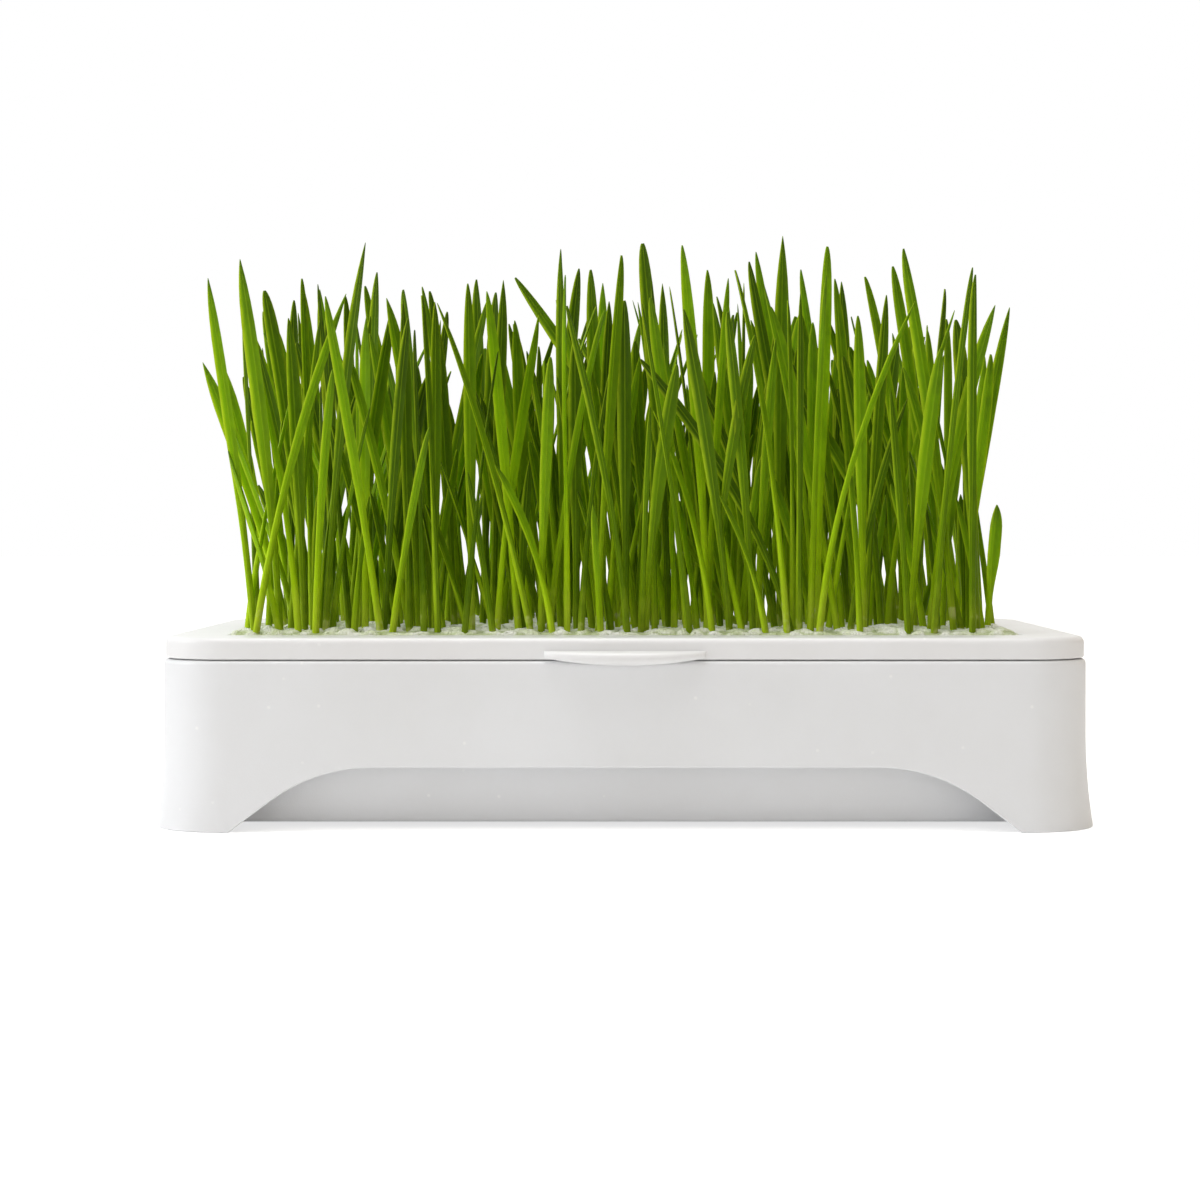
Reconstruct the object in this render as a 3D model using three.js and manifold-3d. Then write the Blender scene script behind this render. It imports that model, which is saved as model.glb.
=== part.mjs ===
// Soil-free wheatgrass tray, in millimetres, +Z up, front towards -Y.
// A moulded base tub on flared feet holds the water. A grow tray with a rim, a lifting tab and a slotted
// floor sits on the tub, and a pale root mat fills it. The wheatgrass stands in the mat in tufts, each a root
// plug with its stems and blades. The origin is on the floor, under the middle of the tray.
import * as THREE from "three";
import { mergeVertices } from "three/addons/utils/BufferGeometryUtils.js";
import Module from "manifold-3d";

const wasm = await Module();
wasm.setup();

// Plan of the tray: every outline is this rounded rectangle, moved in or out
const TRAY_WIDTH = 252;
const TRAY_DEPTH = 156;
const CORNER_RADIUS = 18;
const SMALLEST_CORNER = 5;
const CORNER_STEPS = 6;
const MESH_GAP = 0.4; // clearance between pieces that rest on or in each other

// Base tub
const SHOULDER_HEIGHT = 45.5; // where the grow tray's skirt comes down to
const SHOULDER_ROUNDING = 1.3;
const UPSTAND_HEIGHT = 49.6; // inner lip that carries the grow tray
const UPSTAND_INSET = 2.8;
const WALL = 2;
const FOOT_FLARE = 2; // how far the wall spreads at the floor
const FLARE_HEIGHT = 26; // where the spread begins
const CAVITY_ROOF = 42; // the outer wall and the basin are joined above this
const BASIN_FLOOR = 3.6;
const BASIN_UNDERSIDE = 1.6; // the basin hangs this far off the floor
const BASIN_INSET = 12; // inner wall at the basin's floor
const BASIN_FILLET = 1.3;
const ARCH_HALF_TOP = 68; // flat top of the arch between the feet
const ARCH_HEIGHT = 17.2;
const ARCH_RADIUS = 45;
const ARCH_SLOPE = THREE.MathUtils.degToRad(37);
const ARCH_CUT_OUTSIDE = 6; // the cut starts this far in front of the wall
const ARCH_CUT_INSIDE = 3.5; // and ends this far behind the rim's edge, clear of the basin

// Water in the basin
const WATER_LEVEL = 38;

// Grow tray
const RIM_HEIGHT = 52;
const RIM_PLATE = 2;
const RIM_ROUNDING = 1.8;
const RIM_SETBACK = 0.5; // the rim stands this far behind the tub's wall
const RIM_LIP = 0.6; // rounding of the opening's edge
const SKIRT_BOTTOM = 46.2;
const OPENING_INSET = 17;
const OPENING_DRAFT = 1.6;
const SEED_FLOOR = 45;
const SEED_FLOOR_PLATE = 1.6;
const SLOT_LENGTH = 17;
const SLOT_WIDTH = 3.2;
const SLOT_COLUMNS = 8;
const SLOT_ROWS = 7;
const SLOT_PITCH_X = 24;
const SLOT_PITCH_Y = 15;
const TAB_HALF_WIDTH = 21.6;
const TAB_TOP = 48.4;
const TAB_END_HEIGHT = 1.8;
const TAB_SAG = 1.9; // how much lower the tab's edge hangs in its middle
const TAB_REACH = 5;
const TAB_ROOT = 1; // how far the tab runs into the skirt

// Root mat
const MAT_TOP = 52.6;
const MAT_EDGE = 51.6; // where the mat's edge begins to round over
const MAT_ROUNDING = 3.4;

// Grass: tufts in a staggered grid, each with a few plants along its root plug
const TUFT_COLUMNS = 7;
const TUFT_ROWS = 6;
const TUFT_PITCH_X = 30;
const TUFT_PITCH_Y = 21;
const TUFT_STAGGER = 3;
const TUFT_JITTER = 1.2;
const TUFT_TURN = 0.1; // radians to either side
const PLANTS_PER_TUFT = 4;
const PLANT_PITCH = 6.4;
const PLANT_JITTER = 0.9;
const PLUG_HALF_LENGTH = 12.2;
const PLUG_HALF_WIDTH = 4;
const PLUG_CORNER = 2.4;
const PLUG_TOP = MAT_TOP + 0.3;
const ROOT_DEPTH = 3; // how far a stem runs down into its plug
const STEM_WIDTH = 2.1;
const STEM_THICKNESS = 1.9;
const BLADE_THICKNESS = 0.8;
const BLADE_FOLD = 0.15; // depth of the blade's gutter as a share of its width
const BLADE_WIDTH = 3.2;
const BLADE_WIDTH_RANGE = 1.3;
const BLADE_TURN = 0.9; // radians that a blade faces to either side of the front, at most
const BLADE_TWIST = 0.5; // radians from root to tip
const BLADE_TILT = 0.24; // lean to the front or back, as a share of the rise
const LOWER_RISE = 64; // the plants below the tall outline
const LOWER_RISE_RANGE = 32;
const LOWER_SWING = 0.2; // their lean to either side, as a share of the rise
const LOWER_DRIFT = -0.04; // and their common lean to the left
const LEAF_STEPS = [0, 0.34, 0.62, 0.87, 1];
const TIP_START = 0.68; // share of the rise where a blade begins to narrow
const SIDE_LEAF_STEPS = [0, 0.4, 0.78, 1];
const SIDE_LEAF_TIP_START = 0.55;
const TIP_POINT = 2.4; // the higher, the blunter the tip
const SIDE_LEAF_SHARE = 0.26; // share of the lower plants that have a second leaf
const SIDE_LEAF_WIDTH = 2.9;
const SIDE_LEAF_WIDTH_RANGE = 1.1;
const SIDE_LEAF_FOOT = { width: 1.6, thickness: 1.2 };
const SIDE_LEAF_PART_X = 17; // how far it may part from its stem
const SIDE_LEAF_PART_Y = 11;
const REACH_X = 121; // blade tips stay over the tray
const REACH_Y = 73;
const CLEARANCE = 0.7; // between the blades of different tufts
const CLEARANCE_LEVELS = 26;
const TALLEST = 116;
const ATTEMPTS = 90;
const SEED = 11;

// The tall blades that give the stand its outline: row from the front, root X, tip X and tip height
const LEADING_BLADES = [
  [0, -102, -114, 150], [1, -101, -121, 129], [2, -102, -121, 133], [0, -93, -105, 155], [1, -90, -104, 150],
  [2, -100, -98, 149], [0, -94, -92, 139], [2, -82, -94, 152], [3, -82, -90, 152], [0, -98, -72, 161],
  [3, -76, -75, 159], [4, -68, -80, 156], [4, -84, -85, 152], [0, -76, -73, 141], [1, -73, -67, 144],
  [0, -60, -62, 145], [3, -46, -59, 153], [2, -58, -53, 146], [0, -45, -44, 150], [4, -46, -45, 157],
  [2, -40, -38, 151], [1, -38, -34, 151], [1, 34, -32, 154], [0, -35, -24, 141], [1, -18, -18, 160],
  [4, -24, -14, 161], [2, -4, -10, 157], [5, -6, -7, 159], [0, -7, -1, 157], [0, -13, -14, 135],
  [2, 19, -14, 138], [1, 12, 5, 163], [0, 13, 7, 146], [5, 18, 12, 160], [0, 21, 16, 161],
  [3, 19, 25, 160], [0, 49, 4, 128], [2, 36, 26, 148], [4, 41, 31, 152], [2, 52, 36, 159],
  [3, 56, 39, 164], [1, 48, 45, 165], [4, 67, 54, 161], [0, 46, 57, 161], [1, 65, 60, 153],
  [5, 73, 68, 159], [0, 71, 64, 140], [1, 85, 69, 154], [2, 90, 77, 157], [0, 94, 77, 159],
  [3, 97, 96, 144], [0, 93, 91, 139], [0, 87, 102, 143], [1, 96, 104, 131], [1, 101, 105, 88],
];

const PLASTIC = { color: 0xf2f1ef, roughness: 0.38, metalness: 0 };
const MAT = { color: 0xe6e8cf, roughness: 0.95, metalness: 0 };
const GRASS = { color: 0x4f7a0c, roughness: 0.5, metalness: 0 };
const WATER = { color: 0xbfd8e0, roughness: 0.05, metalness: 0 };

// Solids and meshes

function solidFrom(geometry) {
  const loose = geometry.index ? geometry.toNonIndexed() : geometry;
  const bare = new THREE.BufferGeometry().setAttribute("position", loose.getAttribute("position"));
  const merged = mergeVertices(bare, 1e-4);
  const vertProperties = merged.getAttribute("position").array;
  const corners = merged.index.array;
  const kept = corners.filter((_, i) => {
    const [a, b, c] = corners.slice(i - (i % 3), i - (i % 3) + 3);
    return a !== b && b !== c && c !== a; // a ring that closes to a point leaves empty triangles
  });
  const triVerts = new Uint32Array(kept);
  return new wasm.Manifold(new wasm.Mesh({ numProp: 3, vertProperties, triVerts }));
}

function meshFrom(name, solid, look) {
  const { vertProperties, triVerts } = solid.getMesh();
  const geometry = new THREE.BufferGeometry();
  geometry.setAttribute("position", new THREE.BufferAttribute(vertProperties, 3));
  geometry.setIndex(new THREE.BufferAttribute(triVerts, 1));
  geometry.computeVertexNormals();
  const mesh = new THREE.Mesh(geometry, new THREE.MeshStandardMaterial(look));
  mesh.name = name;
  return mesh;
}

// Tray outline moved in by inset, counter-clockwise from above, at height z
function outline(inset, z) {
  const radius = Math.max(CORNER_RADIUS - inset, SMALLEST_CORNER);
  const centreX = TRAY_WIDTH / 2 - inset - radius;
  const centreY = TRAY_DEPTH / 2 - inset - radius;
  const signs = [[1, 1], [-1, 1], [-1, -1], [1, -1]];
  return signs.flatMap(([signX, signY], corner) =>
    Array.from({ length: CORNER_STEPS + 1 }, (_, step) => {
      const angle = (corner + step / CORNER_STEPS) * (Math.PI / 2);
      const x = signX * centreX + radius * Math.cos(angle);
      const y = signY * centreY + radius * Math.sin(angle);
      return new THREE.Vector3(x, y, z);
    }),
  );
}

// Closed solid through rings of equal length. The first ring's cap faces up and the last ring's cap down.
// across(k) picks the diagonal of the ring's quad k: true runs from its lower left corner.
function loft(rings, across = () => true) {
  const count = rings[0].length;
  const faces = [];
  for (let k = 1; k < count - 1; k++) {
    faces.push(rings[0][0], rings[0][k], rings[0][k + 1]);
  }
  for (let i = 0; i < rings.length - 1; i++) {
    const [upper, lower] = [rings[i], rings[i + 1]];
    for (let k = 0; k < count; k++) {
      const next = (k + 1) % count;
      if (across(k)) {
        faces.push(lower[k], lower[next], upper[next], lower[k], upper[next], upper[k]);
      } else {
        faces.push(lower[k], lower[next], upper[k], lower[next], upper[next], upper[k]);
      }
    }
  }
  const last = rings.at(-1);
  for (let k = 1; k < count - 1; k++) {
    faces.push(last[0], last[k + 1], last[k]);
  }
  return solidFrom(new THREE.BufferGeometry().setFromPoints(faces));
}

const loftProfile = (profile) => loft(profile.map(([inset, z]) => outline(inset, z)));

// Base tub

const flareAt = (z) => FOOT_FLARE * Math.max(0, 1 - z / FLARE_HEIGHT) ** 2;

// Inset of the basin's inner wall, which leans in from the upstand to the basin's floor
function basinInset(z) {
  const top = UPSTAND_INSET + WALL;
  return top + ((BASIN_INSET - top) * (UPSTAND_HEIGHT - z)) / (UPSTAND_HEIGHT - BASIN_FLOOR);
}

// Flat-topped arch with rounded shoulders and sloping sides, in X and Z
function archShape() {
  const arcEndX = ARCH_HALF_TOP + ARCH_RADIUS * Math.sin(ARCH_SLOPE);
  const arcEndZ = ARCH_HEIGHT - ARCH_RADIUS * (1 - Math.cos(ARCH_SLOPE));
  const below = -1;
  const footX = arcEndX + (arcEndZ - below) / Math.tan(ARCH_SLOPE);
  const arcCentreZ = ARCH_HEIGHT - ARCH_RADIUS;
  const upright = Math.PI / 2;
  return new THREE.Shape()
    .moveTo(footX, below)
    .lineTo(arcEndX, arcEndZ)
    .absarc(ARCH_HALF_TOP, arcCentreZ, ARCH_RADIUS, upright - ARCH_SLOPE, upright, false)
    .absarc(-ARCH_HALF_TOP, arcCentreZ, ARCH_RADIUS, upright, upright + ARCH_SLOPE, false)
    .lineTo(-footX, below);
}

// Cuts an arch through the outer wall of the front or the back, clear of the basin behind it
function archCutter(side) {
  const depth = ARCH_CUT_OUTSIDE + ARCH_CUT_INSIDE;
  const cutter = new THREE.ExtrudeGeometry(archShape(), { depth, bevelEnabled: false, curveSegments: 4 });
  cutter.rotateX(Math.PI / 2);
  const outermost = TRAY_DEPTH / 2 + ARCH_CUT_OUTSIDE;
  cutter.translate(0, side < 0 ? depth - outermost : outermost, 0);
  return solidFrom(cutter);
}

function buildBaseTub() {
  const flareHeights = [1, 2 / 3, 1 / 3, 0].map((share) => share * FLARE_HEIGHT);
  const outerWall = flareHeights.map((z) => [-flareAt(z), z]);
  const innerWall = flareHeights.toReversed().map((z) => [WALL - flareAt(z), z]);
  const tub = loftProfile([
    [BASIN_INSET + BASIN_FILLET, BASIN_FLOOR],
    [basinInset(BASIN_FLOOR + BASIN_FILLET), BASIN_FLOOR + BASIN_FILLET],
    [UPSTAND_INSET + WALL, UPSTAND_HEIGHT],
    [UPSTAND_INSET, UPSTAND_HEIGHT],
    [UPSTAND_INSET, SHOULDER_HEIGHT],
    [SHOULDER_ROUNDING, SHOULDER_HEIGHT],
    [SHOULDER_ROUNDING * 0.3, SHOULDER_HEIGHT - SHOULDER_ROUNDING * 0.3],
    [0, SHOULDER_HEIGHT - SHOULDER_ROUNDING],
    ...outerWall,
    ...innerWall,
    [WALL, CAVITY_ROOF],
    [basinInset(CAVITY_ROOF) - WALL, CAVITY_ROOF],
    [basinInset(BASIN_UNDERSIDE + BASIN_FILLET) - WALL, BASIN_UNDERSIDE + BASIN_FILLET],
    [basinInset(BASIN_UNDERSIDE) - WALL + BASIN_FILLET, BASIN_UNDERSIDE],
  ]);
  return meshFrom("base_tub", tub.subtract(archCutter(-1)).subtract(archCutter(1)), PLASTIC);
}

function buildWater() {
  const bottom = BASIN_FLOOR + MESH_GAP;
  const water = loftProfile([
    [basinInset(WATER_LEVEL) + MESH_GAP, WATER_LEVEL],
    [basinInset(bottom + BASIN_FILLET) + MESH_GAP, bottom + BASIN_FILLET],
    [BASIN_INSET + BASIN_FILLET + MESH_GAP, bottom],
  ]);
  return meshFrom("water", water, WATER);
}

// Grow tray

// Finger tab on the front edge: bowed in plan, and its lower edge hangs in a shallow curve.
// A bar in the shape of its front view and a plate in the shape of its plan leave the tab where they meet.
function buildTab() {
  const front = TRAY_DEPTH / 2;
  const clear = front + MESH_GAP;
  const low = TAB_TOP - TAB_END_HEIGHT;
  const sagPull = low - TAB_SAG * (4 / 3); // handles that bring a curve's middle to the sag and the reach
  const bowPull = -clear - (TAB_REACH - MESH_GAP) * (4 / 3);
  const lip = new THREE.Shape()
    .moveTo(TAB_HALF_WIDTH, TAB_TOP)
    .lineTo(-TAB_HALF_WIDTH, TAB_TOP)
    .lineTo(-TAB_HALF_WIDTH, low)
    .bezierCurveTo(-TAB_HALF_WIDTH * 0.6, sagPull, TAB_HALF_WIDTH * 0.6, sagPull, TAB_HALF_WIDTH, low);
  const bow = new THREE.Shape()
    .moveTo(TAB_HALF_WIDTH, -clear)
    .lineTo(-TAB_HALF_WIDTH, -clear)
    .bezierCurveTo(-TAB_HALF_WIDTH * 0.85, bowPull, TAB_HALF_WIDTH * 0.85, bowPull, TAB_HALF_WIDTH, -clear);
  const smooth = { bevelEnabled: false, curveSegments: 16 };
  const lipBar = new THREE.ExtrudeGeometry(lip, { ...smooth, depth: TRAY_DEPTH }).rotateX(Math.PI / 2);
  const bowPlate = new THREE.ExtrudeGeometry(bow, { ...smooth, depth: RIM_HEIGHT });
  const rootHeight = TAB_TOP - SKIRT_BOTTOM;
  const rootDepth = TAB_ROOT + 2 * MESH_GAP;
  const root = new THREE.BoxGeometry(TAB_HALF_WIDTH * 1.9, rootDepth, rootHeight - 0.2);
  root.translate(0, TAB_ROOT - front - rootDepth / 2, SKIRT_BOTTOM + rootHeight / 2);
  return solidFrom(lipBar).intersect(solidFrom(bowPlate)).add(solidFrom(root));
}

function slotCutter(column, row) {
  const halfLength = SLOT_LENGTH / 2;
  const halfWidth = SLOT_WIDTH / 2;
  const slot = new THREE.Shape()
    .moveTo(-halfLength, -halfWidth)
    .lineTo(halfLength, -halfWidth)
    .lineTo(halfLength, halfWidth)
    .lineTo(-halfLength, halfWidth);
  const cutter = new THREE.ExtrudeGeometry(slot, { depth: SEED_FLOOR_PLATE + 2, bevelEnabled: false });
  const x = (column - (SLOT_COLUMNS - 1) / 2) * SLOT_PITCH_X;
  const y = (row - (SLOT_ROWS - 1) / 2) * SLOT_PITCH_Y;
  return solidFrom(cutter.translate(x, y, SEED_FLOOR - SEED_FLOOR_PLATE - 1));
}

function buildGrowTray() {
  const underside = RIM_HEIGHT - RIM_PLATE;
  const floorInset = OPENING_INSET + OPENING_DRAFT;
  let tray = loftProfile([
    [floorInset, SEED_FLOOR],
    [OPENING_INSET, RIM_HEIGHT - RIM_LIP],
    [OPENING_INSET - RIM_LIP, RIM_HEIGHT],
    ...[1, 2 / 3, 1 / 3, 0].map((share) => {
      const angle = (share * Math.PI) / 2;
      const inset = RIM_SETBACK + RIM_ROUNDING * (1 - Math.cos(angle));
      return [inset, RIM_HEIGHT - RIM_ROUNDING * (1 - Math.sin(angle))];
    }),
    [RIM_SETBACK, SKIRT_BOTTOM],
    [WALL, SKIRT_BOTTOM],
    [WALL, underside],
    [OPENING_INSET - WALL, underside],
    [floorInset - WALL, SEED_FLOOR - SEED_FLOOR_PLATE],
  ]).add(buildTab());
  for (let column = 0; column < SLOT_COLUMNS; column++) {
    for (let row = 0; row < SLOT_ROWS; row++) {
      tray = tray.subtract(slotCutter(column, row));
    }
  }
  return meshFrom("grow_tray", tray, PLASTIC);
}

// Grass

// Repeatable draw from 0 to 1 for a plant, an attempt and a quantity, by 32-bit integer mixing
function draw(plant, attempt, quantity) {
  let mixed = Math.imul(SEED * 7919 + plant * 4096 + attempt * 32 + quantity, 0x9e3779b1);
  mixed = Math.imul(mixed ^ (mixed >>> 15), 0x85ebca6b);
  mixed = Math.imul(mixed ^ (mixed >>> 13), 0xc2b2ae35);
  return ((mixed ^ (mixed >>> 16)) >>> 0) / 4294967296;
}

const spread = (plant, attempt, quantity) => 2 * draw(plant, attempt, quantity) - 1;

const ease = (from, to, t) => {
  const share = Math.min(1, Math.max(0, (t - from) / (to - from)));
  return share * share * (3 - 2 * share);
};

function planTuft(column, row) {
  const index = row * TUFT_COLUMNS + column;
  const tag = 1000 + index;
  const stagger = row % 2 ? TUFT_STAGGER : -TUFT_STAGGER;
  const x = (column - (TUFT_COLUMNS - 1) / 2) * TUFT_PITCH_X + stagger + TUFT_JITTER * spread(tag, 0, 0);
  const y = (row - (TUFT_ROWS - 1) / 2) * TUFT_PITCH_Y + TUFT_JITTER * spread(tag, 0, 1);
  return { index, row, x, y, turn: TUFT_TURN * spread(tag, 0, 2), leaves: [], paths: [] };
}

// Width, thickness and gutter depth of a main leaf: a round stem below, a lance-shaped blade above
function leafSection(leaf, t) {
  const open = ease(0.16, 0.6, t);
  const tip = 1 - (Math.max(0, t - TIP_START) / (1 - TIP_START)) ** TIP_POINT;
  const stem = 1 - ease(0.12, 0.55, t);
  const width = (STEM_WIDTH * stem + leaf.width * open) * tip;
  const thickness = STEM_THICKNESS * stem + BLADE_THICKNESS * (1 - stem);
  return { width, thickness, fold: BLADE_FOLD * width * open };
}

// The same for a side leaf, which leaves the stem as a narrow fold
function sideLeafSection(leaf, t) {
  const tip = 1 - (Math.max(0, t - SIDE_LEAF_TIP_START) / (1 - SIDE_LEAF_TIP_START)) ** TIP_POINT;
  const open = ease(0, 0.5, t);
  const width = (SIDE_LEAF_FOOT.width * (1 - open) + leaf.width * open) * tip;
  const thickness = SIDE_LEAF_FOOT.thickness * (1 - open) + BLADE_THICKNESS * open;
  return { width, thickness, fold: BLADE_FOLD * width * open };
}

// Centre of a leaf at share t of its rise: upright at the root, then leaning and bowing over
function leafCentre(leaf, t) {
  const bend = (1 - leaf.bow) * t + leaf.bow * t * t;
  return new THREE.Vector3(leaf.x + leaf.leanX * bend, leaf.y + leaf.leanY * bend, leaf.z + leaf.rise * t);
}

const within = (value, limit) => Math.min(limit, Math.max(-limit, value));

// Where a plant stands: along its tuft's plug, a little to either side
function planPlant(tuft, number) {
  const plant = tuft.index * PLANTS_PER_TUFT + number;
  const along = (number - (PLANTS_PER_TUFT - 1) / 2) * PLANT_PITCH + PLANT_JITTER * spread(plant, 0, 0);
  const aside = PLANT_JITTER * spread(plant, 0, 1);
  const x = tuft.x + along * Math.cos(tuft.turn) - aside * Math.sin(tuft.turn);
  const y = tuft.y + along * Math.sin(tuft.turn) + aside * Math.cos(tuft.turn);
  return { plant, tuft, x, y, tip: null };
}

// One try at a plant's main leaf. A leading blade goes to its own tip, the others lean by chance.
function tryMainLeaf({ plant, x, y, tip }, attempt) {
  const rise = tip ? tip.z - PLUG_TOP : LOWER_RISE + LOWER_RISE_RANGE * draw(plant, attempt, 2);
  const tipX = tip ? tip.x : x + rise * (LOWER_DRIFT + LOWER_SWING * spread(plant, attempt, 3));
  const tilt = BLADE_TILT * (draw(plant, attempt, 4) + draw(plant, attempt, 5) - 1);
  return {
    x, y, z: PLUG_TOP, rise, section: leafSection, steps: LEAF_STEPS,
    leanX: within(tipX, REACH_X) - x,
    leanY: within(y + tilt * rise, REACH_Y) - y,
    bow: 0.1 + 0.5 * draw(plant, attempt, 6),
    facing: BLADE_TURN * spread(plant, attempt, 7) * draw(plant, attempt, 8),
    twist: BLADE_TWIST * spread(plant, attempt, 9),
    width: BLADE_WIDTH + BLADE_WIDTH_RANGE * draw(plant, attempt, 10),
  };
}

// One try at a side leaf that parts from the stem of the main leaf
function trySideLeaf(main, plant, attempt) {
  const fork = 0.3 + 0.15 * draw(plant, attempt, 12);
  const start = leafCentre(main, fork);
  const rise = main.rise * (0.78 + 0.2 * draw(plant, attempt, 13) - fork);
  const follow = 0.6 * (1 - fork); // how far it still leans with the stem
  const tipX = start.x + main.leanX * follow + SIDE_LEAF_PART_X * spread(plant, attempt, 14);
  const tipY = start.y + main.leanY * follow + SIDE_LEAF_PART_Y * spread(plant, attempt, 15);
  return {
    ...main, x: start.x, y: start.y, z: start.z, rise, section: sideLeafSection, steps: SIDE_LEAF_STEPS,
    leanX: within(tipX, REACH_X) - start.x,
    leanY: within(tipY, REACH_Y) - start.y,
    bow: 0.3,
    width: SIDE_LEAF_WIDTH + SIDE_LEAF_WIDTH_RANGE * draw(plant, attempt, 16),
  };
}

function tryPlant(place, attempt) {
  const main = tryMainLeaf(place, attempt);
  const hasSideLeaf = !place.tip && draw(place.plant, 0, 11) < SIDE_LEAF_SHARE;
  return hasSideLeaf ? [main, trySideLeaf(main, place.plant, attempt)] : [main];
}

// Where a leaf passes through each of the clearance levels, with its half width there
function crossings(leaf) {
  return Array.from({ length: CLEARANCE_LEVELS }, (_, level) => {
    const height = PLUG_TOP + (TALLEST * level) / (CLEARANCE_LEVELS - 1);
    const t = (height - leaf.z) / leaf.rise;
    if (t < 0 || t > 1) {
      return null;
    }
    const centre = leafCentre(leaf, t);
    return { x: centre.x, y: centre.y, radius: leaf.section(leaf, t).width * 0.55 };
  });
}

function isClear(path, others) {
  return others.every((other) =>
    other.every((there, level) => {
      const here = path[level];
      if (!here || !there) {
        return true;
      }
      const reach = here.radius + there.radius + CLEARANCE;
      return (here.x - there.x) ** 2 + (here.y - there.y) ** 2 > reach * reach;
    }),
  );
}

// Gives each leading blade the nearest free place in its row
function leadBlades(places) {
  for (const [row, rootX, x, z] of LEADING_BLADES) {
    const free = places.filter((place) => place.tuft.row === row && !place.tip);
    free.sort((a, b) => Math.abs(a.x - rootX) - Math.abs(b.x - rootX));
    free[0].tip = { x, z };
  }
}

// Plants every tuft, the leading blades first. A plant is drawn again until it clears the other tufts.
function planGrass() {
  const tufts = [];
  for (let row = 0; row < TUFT_ROWS; row++) {
    for (let column = 0; column < TUFT_COLUMNS; column++) {
      tufts.push(planTuft(column, row));
    }
  }
  const numbers = Array.from({ length: PLANTS_PER_TUFT }, (_, number) => number);
  const places = tufts.flatMap((tuft) => numbers.map((number) => planPlant(tuft, number)));
  leadBlades(places);
  const leading = places.filter((place) => place.tip);
  const lower = places.filter((place) => !place.tip);
  for (const place of [...leading, ...lower]) {
    const others = tufts.filter((tuft) => tuft !== place.tuft).flatMap((tuft) => tuft.paths);
    for (let attempt = 1; attempt <= ATTEMPTS; attempt++) {
      const leaves = tryPlant(place, attempt);
      const paths = leaves.map(crossings);
      if (paths.every((path) => isClear(path, others))) {
        place.tuft.leaves.push(...leaves);
        place.tuft.paths.push(...paths);
        break;
      }
    }
  }
  return tufts;
}

// Four-sided leaf: two edges and a front and back rib. Both faces are split alike, so they never cross.
function leafSolid(leaf) {
  const rings = leaf.steps.map((t) => {
    const centre = leafCentre(leaf, t);
    const tangent = leafCentre(leaf, t + 0.01).sub(leafCentre(leaf, t - 0.01)).normalize();
    const angle = leaf.facing + leaf.twist * t;
    const across = new THREE.Vector3(Math.cos(angle), Math.sin(angle), 0);
    across.addScaledVector(tangent, -across.dot(tangent)).normalize();
    const facing = new THREE.Vector3().crossVectors(across, tangent);
    const { width, thickness, fold } = leaf.section(leaf, t);
    const body = t < 1 ? thickness / 2 : 0;
    if (t === 0) {
      centre.addScaledVector(tangent, -ROOT_DEPTH);
    }
    const at = (side, lift) => centre.clone().addScaledVector(across, side).addScaledVector(facing, lift);
    return [at(width / 2, fold), at(0, -body), at(-width / 2, fold), at(0, body)];
  });
  return loft(rings.reverse(), (k) => k % 2 === 0);
}

// Eight-sided root plug, grown by margin
function plugGeometry(margin, bottom, top) {
  const length = PLUG_HALF_LENGTH + margin;
  const width = PLUG_HALF_WIDTH + margin;
  const plan = new THREE.Shape()
    .moveTo(length, -width + PLUG_CORNER)
    .lineTo(length, width - PLUG_CORNER)
    .lineTo(length - PLUG_CORNER, width)
    .lineTo(-length + PLUG_CORNER, width)
    .lineTo(-length, width - PLUG_CORNER)
    .lineTo(-length, -width + PLUG_CORNER)
    .lineTo(-length + PLUG_CORNER, -width)
    .lineTo(length - PLUG_CORNER, -width);
  const plug = new THREE.ExtrudeGeometry(plan, { depth: top - bottom, bevelEnabled: false });
  return plug.translate(0, 0, bottom);
}

function plugAt(tuft, margin, bottom, top) {
  return solidFrom(plugGeometry(margin, bottom, top).rotateZ(tuft.turn).translate(tuft.x, tuft.y, 0));
}

function buildTuft(tuft) {
  const plug = plugAt(tuft, 0, SEED_FLOOR + MESH_GAP, PLUG_TOP);
  const solid = tuft.leaves.reduce((joined, leaf) => joined.add(leafSolid(leaf)), plug);
  return meshFrom(`grass_tuft_${String(tuft.index + 1).padStart(2, "0")}`, solid, GRASS);
}

// Root mat

function buildRootMat(tufts) {
  const bottom = SEED_FLOOR + MESH_GAP;
  const edge = OPENING_INSET + MESH_GAP;
  const mat = loftProfile([
    [edge + MAT_ROUNDING, MAT_TOP],
    [edge + MAT_ROUNDING * 0.4, MAT_TOP - 0.4],
    [edge, MAT_EDGE],
    [edge + OPENING_DRAFT, bottom],
  ]);
  const holed = tufts.reduce(
    (left, tuft) => left.subtract(plugAt(tuft, MESH_GAP, bottom - 1, MAT_TOP + 1)),
    mat,
  );
  return meshFrom("root_mat", holed, MAT);
}

const grass = planGrass();
const wheatgrassTray = new THREE.Group();
wheatgrassTray.add(buildBaseTub(), buildWater(), buildGrowTray(), buildRootMat(grass));
wheatgrassTray.add(...grass.map(buildTuft));

export default wheatgrassTray;
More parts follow.
